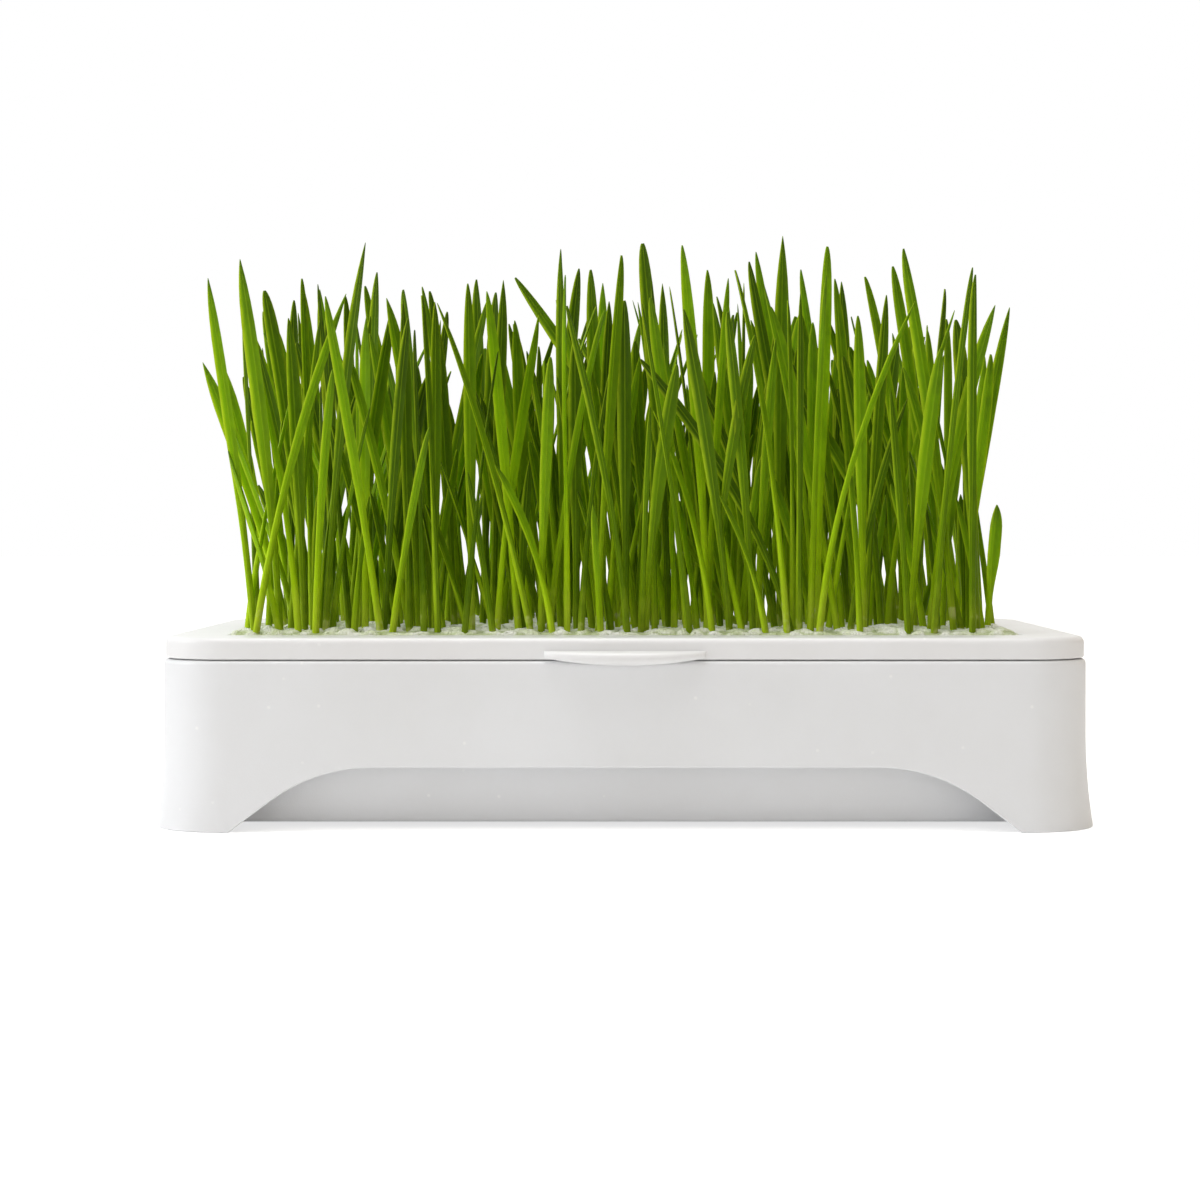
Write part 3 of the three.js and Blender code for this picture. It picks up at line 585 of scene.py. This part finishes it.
def buildRootThreads():
    # fine roots that lie over the grains: a straight line with a sideways sine, and round it a tube
    # that thins out
    chance = np.random.default_rng(rootThreads["seed"])
    count, sides = rootThreads["count"], rootThreads["sides"]
    halfX = trayPlan["width"] / 2 - rootMat["inset"] - rootThreads["margin"]
    halfY = trayPlan["depth"] / 2 - rootMat["inset"] - rootThreads["margin"]
    startX, startY = chance.uniform(-halfX, halfX, (count, 1)), chance.uniform(-halfY, halfY, (count, 1))
    course, phase = chance.uniform(0, 2 * np.pi, (2, count, 1))
    shortest, longest = rootThreads["shortest"], rootThreads["longest"]
    length = rootThreads["length"] * chance.uniform(shortest, longest, (count, 1))
    share = np.linspace(0, 1, rootThreads["rows"])[None, :]
    along = length * share
    aside = rootThreads["sway"] * (np.sin(rootThreads["waves"] * share + phase) - np.sin(phase))
    x = np.clip(startX + along * np.cos(course) - aside * np.sin(course), -halfX, halfX)
    y = np.clip(startY + along * np.sin(course) + aside * np.cos(course), -halfY, halfY)
    z = rootMat["top"] + matRelief(x, y)
    angle = 2 * np.pi * np.arange(sides)[None, None, :] / sides
    radius = (rootThreads["radius"] * (1 - rootThreads["thinning"] * share))[..., None]
    points = np.stack([x[..., None] - radius * np.cos(angle) * np.sin(course)[..., None],
                       y[..., None] + radius * np.cos(angle) * np.cos(course)[..., None],
                       z[..., None] + radius * np.sin(angle)], axis=-1)
    size = rootThreads["rows"] * sides
    starts = (np.arange(count) * size)[:, None, None]
    quads = (tubeFaces(rootThreads["rows"], sides)[None, :, ::-1] + starts).reshape(-1, 4)
    first = (np.arange(sides)[None, None, ::-1] + starts).reshape(-1, sides)
    last = (np.arange(size - sides, size)[None, None] + starts).reshape(-1, sides)
    tones = np.ones(count * size)
    piece = addPiece("rootThreads", points, [quads, first, last], rootFelt, tones=tones, sharp=80)
    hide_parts("root_mat")
    print("root threads:", count)


rootFelt = matMaterial()
buildRootMat()
buildRootThreads()


# Grass

# colours along the blade from foot to tip, of bright and of dark blades, and what is laid over them
bladeTint = dict(
    fresh=[(0.0, (0.72, 0.76, 0.26)), (0.02, (0.60, 0.76, 0.04)), (0.14, (0.48, 0.74, 0.004)),
           (0.5, (0.315, 0.58, 0.002)), (0.8, (0.24, 0.48, 0.002)), (1.0, (0.12, 0.25, 0.004))],
    deep=[(0.0, (0.50, 0.58, 0.12)), (0.02, (0.22, 0.33, 0.01)), (0.16, (0.08, 0.17, 0.001)),
          (0.6, (0.043, 0.104, 0.001)), (1.0, (0.02, 0.05, 0.001))],
    vein=(0.30, 0.47, 0.004), streak=(0.04, 0.075, 0.001), midrib=(0.35, 0.53, 0.008),
    shadeHalf=(0.035, 0.065, 0.0), litEdge=(0.62, 0.86, 0.02))
bladeFinish = dict(blotchScale=130.0, blotchShift=0.3, streakScale=(900.0, 900.0, 40.0), veinTurns=75.0,
                   veinShare=0.15, streakShare=0.3, midribShare=0.3, midribCore=0.02, midribEdge=0.07,
                   shadeFrom=0.45, shadeTo=0.62, shadeShare=0.55, litTo=0.3, litShare=1.1, veinHeight=0.5,
                   relief=0.5, reliefDepth=0.15 * mm, roughness=0.3, roughnessRange=0.25, gloss=0.07,
                   translucent=0.25, translucentDepth=(1.2 * mm, 1.6 * mm, 0.4 * mm))


def grassMaterial():
    # pale foot, lime stem, green blade and a darker tip; fine veins along the blade and a pale midrib
    form = bladeFinish
    material, tree, shader = newMaterial("grassBlade")
    leafMap = addNode(tree, "ShaderNodeUVMap", uv_map="leafUV").outputs["UV"]
    across, along = addNode(tree, "ShaderNodeSeparateXYZ", {0: leafMap}).outputs[:2]
    tone = addNode(tree, "ShaderNodeAttribute", attribute_name="tone").outputs["Fac"]
    place = objectPlace(tree)
    blotches = addNoise(tree, place, form["blotchScale"], 3.0)
    lengthways = {"Vector": place, "Scale": form["streakScale"]}
    streaks = addNoise(tree, addNode(tree, "ShaderNodeMapping", lengthways).outputs[0], 1.0, 2.0)
    uneven = addMath(tree, "SUBTRACT", blotches, 0.5)
    shade = addMath(tree, "MULTIPLY_ADD", uneven, form["blotchShift"], along)
    deep, fresh = addRamp(tree, shade, bladeTint["deep"]), addRamp(tree, shade, bladeTint["fresh"])
    wave = addMath(tree, "SINE", addMath(tree, "MULTIPLY", across, form["veinTurns"]))
    veins = addMath(tree, "MULTIPLY_ADD", wave, 0.5, 0.5)
    offMiddle = addMath(tree, "ABSOLUTE", addMath(tree, "SUBTRACT", across, 0.5))
    midrib = addRange(tree, offMiddle, form["midribCore"], form["midribEdge"], 1.0, 0.0)
    # one half of a folded blade is in its own shade, and the other edge catches the light
    shaded = addRange(tree, across, form["shadeFrom"], form["shadeTo"], 0.0, form["shadeShare"])
    lit = addRange(tree, across, 0.0, form["litTo"], form["litShare"], 0.0)
    colour = addMix(tree, tone, deep, fresh)
    for amount, share, tint in ((veins, form["veinShare"], "vein"), (streaks, form["streakShare"], "streak"),
                                (midrib, form["midribShare"], "midrib"), (shaded, blotches, "shadeHalf"),
                                (lit, blotches, "litEdge")):
        colour = addMix(tree, addMath(tree, "MULTIPLY", amount, share), colour, bladeTint[tint])
    relief = addMath(tree, "SUBTRACT", addMath(tree, "MULTIPLY", veins, form["veinHeight"]), midrib)
    setInputs(tree, shader, {
        "Base Color": colour, "Normal": addBump(tree, relief, form["relief"], form["reliefDepth"]),
        "Roughness": addMath(tree, "MULTIPLY_ADD", streaks, form["roughnessRange"], form["roughness"]),
        "Specular IOR Level": form["gloss"], "Subsurface Weight": form["translucent"],
        "Subsurface Radius": form["translucentDepth"], "Subsurface Scale": 1.0})
    return material


# in millimetres: places of the tufts and plants, and the forms of their leaves
grass = dict(columns=7, rows=6, pitchX=30, pitchY=21, stagger=3, jitter=1.2, turn=0.1, plants=4,
             plantPitch=6.4, plantJitter=0.9, foot=52.9, rootDepth=3, reachX=121, reachY=73, clearance=0.7,
             levels=26, tallest=116, attempts=90, tuftTag=1000, seed=11)
leafForm = dict(stemWidth=2.1, stemThickness=1.9, fold=0.15, width=3.2, widthRange=1.3, tipStart=0.68,
                turn=0.9, twist=0.5, tilt=0.24, lowerRise=64, lowerRange=32, lowerSwing=0.2, lowerDrift=-0.04,
                tipPoint=2.4, thickness=0.45, opensFrom=0.16, opensTo=0.6, closesFrom=0.12, closesTo=0.55,
                bow=0.1, bowRange=0.5, pathShare=0.55)
sideLeaf = dict(share=0.26, width=2.9, widthRange=1.1, footWidth=1.6, footThickness=1.2, partX=17, partY=11,
                tipStart=0.55, opensTo=0.5, fork=0.3, forkRange=0.15, follow=0.6, bow=0.3, rise=0.78,
                riseRange=0.2)

# number of each drawn quantity; a turn is drawn for tufts only and a rise for leaves only
drawn = dict(along=0, aside=1, turn=2, rise=2, swing=3, tilt=4, tiltAgain=5, bow=6, facing=7, facingShare=8,
             twist=9, width=10, second=11, fork=12, sideRise=13, partX=14, partY=15, sideWidth=16)

# the tall blades: row from the front, root X, tip X and tip height
leadingBlades = [
    (0, -102, -114, 150), (1, -101, -121, 129), (2, -102, -121, 133), (0, -93, -105, 155),
    (1, -90, -104, 150), (2, -100, -98, 149), (0, -94, -92, 139), (2, -82, -94, 152), (3, -82, -90, 152),
    (0, -98, -72, 161), (3, -76, -75, 159), (4, -68, -80, 156), (4, -84, -85, 152), (0, -76, -73, 141),
    (1, -73, -67, 144), (0, -60, -62, 145), (3, -46, -59, 153), (2, -58, -53, 146), (0, -45, -44, 150),
    (4, -46, -45, 157), (2, -40, -38, 151), (1, -38, -34, 151), (1, 34, -32, 154), (0, -35, -24, 141),
    (1, -18, -18, 160), (4, -24, -14, 161), (2, -4, -10, 157), (5, -6, -7, 159), (0, -7, -1, 157),
    (0, -13, -14, 135), (2, 19, -14, 138), (1, 12, 5, 163), (0, 13, 7, 146), (5, 18, 12, 160),
    (0, 21, 16, 161), (3, 19, 25, 160), (0, 49, 4, 128), (2, 36, 26, 148), (4, 41, 31, 152),
    (2, 52, 36, 159), (3, 56, 39, 164), (1, 48, 45, 165), (4, 67, 54, 161), (0, 46, 57, 161),
    (1, 65, 60, 153), (5, 73, 68, 159), (0, 71, 64, 140), (1, 85, 69, 154), (2, 90, 77, 157),
    (0, 94, 77, 159), (3, 97, 96, 144), (0, 93, 91, 139), (0, 87, 102, 143), (1, 96, 104, 131),
    (1, 101, 105, 88),
]


def drawShare(plant, attempt, quantity):
    # repeatable draw from 0 to 1 by 32-bit integer mixing
    low32 = 2 ** 32 - 1
    mixed = ((grass["seed"] * 7919 + plant * 4096 + attempt * 32 + drawn[quantity]) * 0x9e3779b1) & low32
    mixed = ((mixed ^ (mixed >> 15)) * 0x85ebca6b) & low32
    mixed = ((mixed ^ (mixed >> 13)) * 0xc2b2ae35) & low32
    return (mixed ^ (mixed >> 16)) / 2 ** 32


def drawSpread(plant, attempt, quantity):
    return 2 * drawShare(plant, attempt, quantity) - 1


def leafSection(leaf, t):
    # width, thickness and gutter depth: a round stem below and a lance-shaped blade above, or for a side
    # leaf a narrow fold that opens at once
    pastStart = np.clip(t - leaf["tipStart"], 0, None) / (1 - leaf["tipStart"])
    tip = (1 - pastStart ** leaf["point"]) ** leaf["blunt"]
    sideOpened = ease(0, sideLeaf["opensTo"], t)
    opened = np.where(leaf["side"], sideOpened, ease(leafForm["opensFrom"], leafForm["opensTo"], t))
    closed = 1 - np.where(leaf["side"], sideOpened, ease(leafForm["closesFrom"], leafForm["closesTo"], t))
    footWidth = np.where(leaf["side"], sideLeaf["footWidth"], leafForm["stemWidth"])
    footThickness = np.where(leaf["side"], sideLeaf["footThickness"], leafForm["stemThickness"])
    width = (footWidth * closed + leaf["width"] * opened) * tip
    thickness = footThickness * closed + leafForm["thickness"] * (1 - closed)
    return width, thickness, leafForm["fold"] * width * opened


def leafCentre(leaf, t):
    # upright at the root, then leaning and bowing over
    bend = (1 - leaf["bow"]) * t + leaf["bow"] * t * t
    x, y = leaf["x"] + leaf["leanX"] * bend, leaf["y"] + leaf["leanY"] * bend
    return np.stack([x, y, leaf["z"] + leaf["rise"] * t], axis=-1)


def leafPath(leaf):
    # where the leaf passes each clearance level, and its half width there; empty levels are not numbers
    heights = grass["foot"] + grass["tallest"] * np.arange(grass["levels"]) / (grass["levels"] - 1)
    t = (heights - leaf["z"]) / leaf["rise"]
    t = np.where((t < 0) | (t > 1), np.nan, t)
    return np.column_stack([leafCentre(leaf, t)[:, :2], leafForm["pathShare"] * leafSection(leaf, t)[0]])


def isClear(path, others, clearance):
    # at every level the leaf keeps both half widths and the clearance away from the others
    if len(others) == 0:
        return True
    apart = np.sum((others[:, :, :2] - path[:, :2]) ** 2, axis=-1)
    return not np.any(apart <= (others[:, :, 2] + path[:, 2] + clearance) ** 2)


def rootedLeaf(x, y, rise, tipX, tipY, **form):
    # a leaf from the mat to its tip, which stays inside the stand's depth
    return dict(x=x, y=y, z=grass["foot"], rise=rise, side=False, leanX=tipX - x,
                leanY=np.clip(tipY, -grass["reachY"], grass["reachY"]) - y,
                tipStart=leafForm["tipStart"], point=leafForm["tipPoint"], blunt=1, **form)


def tryMainLeaf(place, attempt):
    # a leading blade ends at its own tip; any other rises and swings by chance
    plant, x, y, tip = place["plant"], place["x"], place["y"], place["tip"]
    rise = leafForm["lowerRise"] + leafForm["lowerRange"] * drawShare(plant, attempt, "rise")
    if tip:
        rise = tip[1] - grass["foot"]
    swing = leafForm["lowerDrift"] + leafForm["lowerSwing"] * drawSpread(plant, attempt, "swing")
    tipX = np.clip(tip[0] if tip else x + rise * swing, -grass["reachX"], grass["reachX"])
    tilt = drawShare(plant, attempt, "tilt") + drawShare(plant, attempt, "tiltAgain") - 1
    facing = leafForm["turn"] * drawSpread(plant, attempt, "facing")
    return rootedLeaf(
        x, y, rise, tipX, y + leafForm["tilt"] * tilt * rise,
        bow=leafForm["bow"] + leafForm["bowRange"] * drawShare(plant, attempt, "bow"),
        facing=facing * drawShare(plant, attempt, "facingShare"),
        twist=leafForm["twist"] * drawSpread(plant, attempt, "twist"),
        width=leafForm["width"] + leafForm["widthRange"] * drawShare(plant, attempt, "width"))


def trySideLeaf(main, plant, attempt):
    # leaves the stem at the fork, follows the main leaf's lean in part and swings away from it
    fork = sideLeaf["fork"] + sideLeaf["forkRange"] * drawShare(plant, attempt, "fork")
    startX, startY, startZ = leafCentre(main, fork)
    follow = sideLeaf["follow"] * (1 - fork)
    tipX = startX + main["leanX"] * follow + sideLeaf["partX"] * drawSpread(plant, attempt, "partX")
    tipY = startY + main["leanY"] * follow + sideLeaf["partY"] * drawSpread(plant, attempt, "partY")
    share = sideLeaf["rise"] + sideLeaf["riseRange"] * drawShare(plant, attempt, "sideRise") - fork
    return dict(
        main, x=startX, y=startY, z=startZ, rise=main["rise"] * share, side=True,
        leanX=np.clip(tipX, -grass["reachX"], grass["reachX"]) - startX,
        leanY=np.clip(tipY, -grass["reachY"], grass["reachY"]) - startY,
        tipStart=sideLeaf["tipStart"], bow=sideLeaf["bow"],
        width=sideLeaf["width"] + sideLeaf["widthRange"] * drawShare(plant, attempt, "sideWidth"))


def planPlaces():
    # tufts on a staggered grid with a row of plants in each; a leading blade takes the nearest free plant
    places = []
    for index in range(grass["rows"] * grass["columns"]):
        row, column = divmod(index, grass["columns"])
        tag = grass["tuftTag"] + index
        stagger = grass["stagger"] if row % 2 else -grass["stagger"]
        tuftX = (column - (grass["columns"] - 1) / 2) * grass["pitchX"] + stagger
        tuftX += grass["jitter"] * drawSpread(tag, 0, "along")
        tuftY = (row - (grass["rows"] - 1) / 2) * grass["pitchY"]
        tuftY += grass["jitter"] * drawSpread(tag, 0, "aside")
        turn = grass["turn"] * drawSpread(tag, 0, "turn")
        for number in range(grass["plants"]):
            plant = index * grass["plants"] + number
            along = (number - (grass["plants"] - 1) / 2) * grass["plantPitch"]
            along += grass["plantJitter"] * drawSpread(plant, 0, "along")
            aside = grass["plantJitter"] * drawSpread(plant, 0, "aside")
            places.append(dict(plant=plant, tuft=index, row=row, tip=None,
                               x=tuftX + along * np.cos(turn) - aside * np.sin(turn),
                               y=tuftY + along * np.sin(turn) + aside * np.cos(turn)))
    for row, rootX, tipX, tipZ in leadingBlades:
        free = [place for place in places if place["row"] == row and not place["tip"]]
        min(free, key=lambda place: abs(place["x"] - rootX))["tip"] = (tipX, tipZ)
    return places


def planGrass(places):
    # the leading blades first; a plant is drawn again until it clears the other tufts
    tufts = [[] for _ in range(grass["rows"] * grass["columns"])]
    paths, owners = np.empty((0, grass["levels"], 3)), np.empty(0, dtype=int)
    for place in sorted(places, key=lambda place: not place["tip"]):
        others = paths[owners != place["tuft"]]
        for attempt in range(1, grass["attempts"] + 1):
            leaves = [tryMainLeaf(place, attempt)]
            if not place["tip"] and drawShare(place["plant"], 0, "second") < sideLeaf["share"]:
                leaves.append(trySideLeaf(leaves[0], place["plant"], attempt))
            found = [leafPath(leaf) for leaf in leaves]
            if all(isClear(path, others, grass["clearance"]) for path in found):
                tufts[place["tuft"]].extend(leaves)
                paths = np.concatenate([paths, np.stack(found)])
                owners = np.concatenate([owners, np.full(len(found), place["tuft"])])
                break
    return tufts


# thinner blades and stems that fill each tuft, kept between its plants
infill = dict(frontTuft=11, otherTuft=6, along=13, aside=9, edge=58.5, leftmost=-112, rightmost=95, rise=34,
              riseRange=66, swing=0.32, drift=-0.03, tilt=0.16, width=1.7, widthRange=2.1, bow=0.1,
              bowRange=0.6, facing=1.2, clearance=0.05, attempts=40, tag=3000)


def tryInfill(tuftX, tuftY, plant, attempt):
    x = tuftX + infill["along"] * drawSpread(plant, attempt, "along")
    y = max(tuftY + infill["aside"] * drawSpread(plant, attempt, "aside"), -infill["edge"])
    rise = infill["rise"] + infill["riseRange"] * drawShare(plant, attempt, "rise")
    lean = rise * (infill["drift"] + infill["swing"] * drawSpread(plant, attempt, "swing"))
    tilt = infill["tilt"] * rise * drawSpread(plant, attempt, "tilt")
    return rootedLeaf(
        x, y, rise, np.clip(x + lean, infill["leftmost"], infill["rightmost"]), y + tilt,
        bow=infill["bow"] + infill["bowRange"] * drawShare(plant, attempt, "bow"),
        facing=infill["facing"] * drawSpread(plant, attempt, "facing"),
        twist=leafForm["twist"] * drawSpread(plant, attempt, "twist"),
        width=infill["width"] + infill["widthRange"] * drawShare(plant, attempt, "width") ** 2)


def addInfill(tufts, places):
    # a blade is drawn again until it clears every leaf, and left out where there is no room
    paths = np.stack([leafPath(leaf) for leaves in tufts for leaf in leaves])
    for index, leaves in enumerate(tufts):
        own = [(place["x"], place["y"]) for place in places if place["tuft"] == index]
        tuftX, tuftY = np.mean(own, axis=0)
        for number in range(infill["frontTuft"] if index < grass["columns"] else infill["otherTuft"]):
            plant = infill["tag"] + index * infill["frontTuft"] + number
            for attempt in range(1, infill["attempts"] + 1):
                leaf = tryInfill(tuftX, tuftY, plant, attempt)
                path = leafPath(leaf)
                if isClear(path, paths, infill["clearance"]):
                    leaves.append(leaf)
                    paths = np.concatenate([paths, path[None]])
                    break


# rows along a blade, closer together towards the tip, and how far chance varies the tips
tipSteps = [0.76, 0.83, 0.885, 0.925, 0.955, 0.975, 0.988, 0.996]
bladeSteps = np.concatenate([np.linspace(0, 0.68, 9), tipSteps])
bladeMesh = dict(columns=8, rows=len(bladeSteps), foldMore=1.6, gutterPower=1.2, slim=0.96, sideStart=0.35,
                 leastPoint=0.75, pointRange=0.7, tipShift=0.1, leastBlunt=0.5, bluntRange=0.5,
                 bluntPower=1.5, toneSpread=(0.8, 0.9), seed=23)


def bladeShell(leaves, chance):
    # each leaf is a closed tube along its bowed centre line: across it half the width times the cosine,
    # and along its normal the gutter, deepest at the edges, plus half the thickness times the sine
    count = len(leaves)
    each = (count, 1, 1)
    leaf = {key: np.array([one[key] for one in leaves]).reshape(each) for key in leaves[0]}
    pointShare = bladeMesh["leastPoint"] + bladeMesh["pointRange"] * chance.random(each)
    leaf["point"] = leafForm["tipPoint"] * pointShare
    leaf["tipStart"] = leaf["tipStart"] + bladeMesh["tipShift"] * chance.random(each)
    bluntShare = chance.random(each) ** bladeMesh["bluntPower"]
    leaf["blunt"] = bladeMesh["leastBlunt"] + bladeMesh["bluntRange"] * bluntShare
    ring = bladeMesh["columns"]
    t = bladeSteps[None, :, None]
    angle = 2 * np.pi * np.arange(ring)[None, None, :] / ring
    centre = leafCentre(leaf, t)
    slope = 1 - leaf["bow"] + 2 * leaf["bow"] * t
    tangent = np.stack([leaf["leanX"] * slope, leaf["leanY"] * slope, leaf["rise"] + 0 * t], axis=-1)
    tangent /= np.linalg.norm(tangent, axis=-1, keepdims=True)
    turned = leaf["facing"] + leaf["twist"] * t
    across = np.stack([np.cos(turned), np.sin(turned), 0 * turned], axis=-1)
    across = across - tangent * np.sum(across * tangent, axis=-1, keepdims=True)
    across /= np.linalg.norm(across, axis=-1, keepdims=True)
    normal = np.cross(across, tangent)
    sunk = np.where((t == 0) & ~leaf["side"], grass["rootDepth"], 0)
    centre = centre - tangent * sunk[..., None]
    width, thickness, fold = leafSection(leaf, t)
    sideways = bladeMesh["slim"] * width / 2 * np.cos(angle)
    gutter = bladeMesh["foldMore"] * fold * np.abs(np.cos(angle)) ** bladeMesh["gutterPower"]
    lift = gutter + thickness / 2 * np.sin(angle) * np.minimum(1, width / thickness)
    points = centre + across * sideways[..., None] + normal * lift[..., None]
    size = bladeMesh["rows"] * ring
    starts = (np.arange(count) * size)[:, None, None]
    quads = (tubeFaces(bladeMesh["rows"], ring)[None] + starts).reshape(-1, 4)
    feet = (np.arange(ring)[None, None] + starts).reshape(-1, ring)
    tips = (np.arange(size - 1, size - ring - 1, -1)[None, None] + starts).reshape(-1, ring)
    alongLeaf = np.where(leaf["side"], bladeMesh["sideStart"] + (1 - bladeMesh["sideStart"]) * t, t)
    uv = np.stack(np.broadcast_arrays(0.5 + 0.5 * np.cos(angle), alongLeaf), axis=-1)
    tones = np.broadcast_to(chance.beta(*bladeMesh["toneSpread"], each), uv.shape[:-1])
    return points * mm, [quads, feet, tips], uv, tones


def buildGrass():
    material = grassMaterial()
    chance = np.random.default_rng(bladeMesh["seed"])
    places = planPlaces()
    tufts = planGrass(places)
    planned = sum(len(leaves) for leaves in tufts)
    addInfill(tufts, places)
    total = sum(len(leaves) for leaves in tufts)
    for index, leaves in enumerate(tufts):
        points, faceSets, uv, tones = bladeShell(leaves, chance)
        piece = addPiece("blades_%02d" % (index + 1), points, faceSets, material, uv, tones, sharp=70)
        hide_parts("grass_tuft_%02d" % (index + 1))
    print("grass:", planned, "leaves and", total - planned, "thinner ones between them")


buildGrass()


# Water

water = dict(rippleScale=45.0, relief=0.1, reliefDepth=0.4 * mm, roughness=0.04, clearness=0.85, ior=1.333,
             tints=[(0.3, (0.78, 0.88, 0.90)), (0.7, (0.86, 0.92, 0.92))])


def buildWater():
    # still water with a faint ripple; the level stays inside the tub
    material, tree, shader = newMaterial("clearWater")
    ripple = addNoise(tree, objectPlace(tree), water["rippleScale"], 2.0)
    setInputs(tree, shader, {
        "Base Color": addRamp(tree, ripple, water["tints"]),
        "Normal": addBump(tree, ripple, water["relief"], water["reliefDepth"]),
        "Roughness": water["roughness"], "Transmission Weight": water["clearness"], "IOR": water["ior"]})
    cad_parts["water"].data.materials.clear()
    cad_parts["water"].data.materials.append(material)
    print("water ready")


buildWater()


# Floor, light and camera

studio = dict(floorHalf=6.0, floorTint=(0.9, 0.9, 0.9, 1), floorGlow=0.1, floorSeen=0.6,
              white=(1.0, 1.0, 1.0), rightCast=(0.64, 0.52, 0.36), rightFrom=-0.1, backFrom=0.2, fullFrom=0.9,
              worldSeen=1.0, worldLight=0.57, worldBack=1.0)
lamps = dict(keyLeft=dict(place=(-1.25, -0.2, 0.5), aim=(-0.05, 0, 0.08), size=0.6, power=4.2),
             overhead=dict(place=(-0.1, -0.15, 1.2), aim=(0, 0, 0.05), size=0.8, power=7.5),
             frontFill=dict(place=(0.5, -1.4, 0.7), aim=(0, 0, 0.06), size=0.8, power=0.3))
view = dict(place=(0, -0.806, 0.0824), lens=81.7, sensor=36, shiftX=-0.0208, shiftY=-0.0633)


def buildFloor():
    material, tree, shader = newMaterial("paleFloor")
    seen = addNode(tree, "ShaderNodeLightPath").outputs["Is Camera Ray"]
    setInputs(tree, shader, {
        "Base Color": studio["floorTint"], "Roughness": 0.9, "Emission Color": (1, 1, 1, 1),
        "Emission Strength": addRange(tree, seen, 0.0, 1.0, studio["floorGlow"], studio["floorSeen"])})
    half = studio["floorHalf"]
    corners = [(-half, -half, 0), (half, -half, 0), (half, half, 0), (-half, half, 0)]
    mesh = bpy.data.meshes.new("floor")
    mesh.from_pydata(corners, [], [(0, 1, 2, 3)])
    mesh.materials.append(material)
    floor = bpy.data.objects.new("floor", mesh)
    bpy.context.scene.collection.objects.link(floor)


def buildWorld():
    # brightest from behind, and from the right a little dimmer and warmer than from the left
    world = bpy.data.worlds.new("studioWhite")
    world.use_nodes = True
    tree = world.node_tree
    seen = addNode(tree, "ShaderNodeLightPath").outputs["Is Camera Ray"]
    towards = addNode(tree, "ShaderNodeTexCoord").outputs["Generated"]
    parts = addNode(tree, "ShaderNodeSeparateXYZ", {0: towards}).outputs
    toRight = addRange(tree, parts[0], studio["rightFrom"], studio["fullFrom"])
    toBack = addRange(tree, parts[1], studio["backFrom"], studio["fullFrom"])
    cast = addMix(tree, toRight, studio["white"], studio["rightCast"])
    light = addRange(tree, toBack, 0.0, 1.0, studio["worldLight"], studio["worldBack"])
    setInputs(tree, tree.nodes["Background"], {
        "Color": addMix(tree, seen, cast, studio["white"]),
        "Strength": addRange(tree, seen, 0.0, 1.0, light, studio["worldSeen"])})
    bpy.context.scene.world = world
    bpy.context.scene.view_settings.view_transform = "Standard"


def addLight(name, place, aim, size, power):
    light = bpy.data.lights.new(name, "AREA")
    light.shape = "DISK"
    light.size = size
    light.energy = power
    lamp = bpy.data.objects.new(name, light)
    lamp.location = place
    away = np.subtract(place, aim)
    lamp.rotation_euler = (np.arctan2(np.hypot(away[0], away[1]), away[2]), 0, np.arctan2(away[0], -away[1]))
    bpy.context.scene.collection.objects.link(lamp)


def addCamera():
    # level with the lower third of the grass, straight on to the front
    data = bpy.data.cameras.new("camera")
    data.lens = view["lens"]
    data.sensor_width = view["sensor"]
    data.shift_x = view["shiftX"]
    data.shift_y = view["shiftY"]
    camera = bpy.data.objects.new("camera", data)
    camera.location = view["place"]
    camera.rotation_euler = (np.pi / 2, 0, 0)
    bpy.context.scene.collection.objects.link(camera)
    bpy.context.scene.camera = camera


buildFloor()
buildWorld()
for lampName, lamp in lamps.items():
    addLight(lampName, **lamp)
addCamera()
print("studio ready")
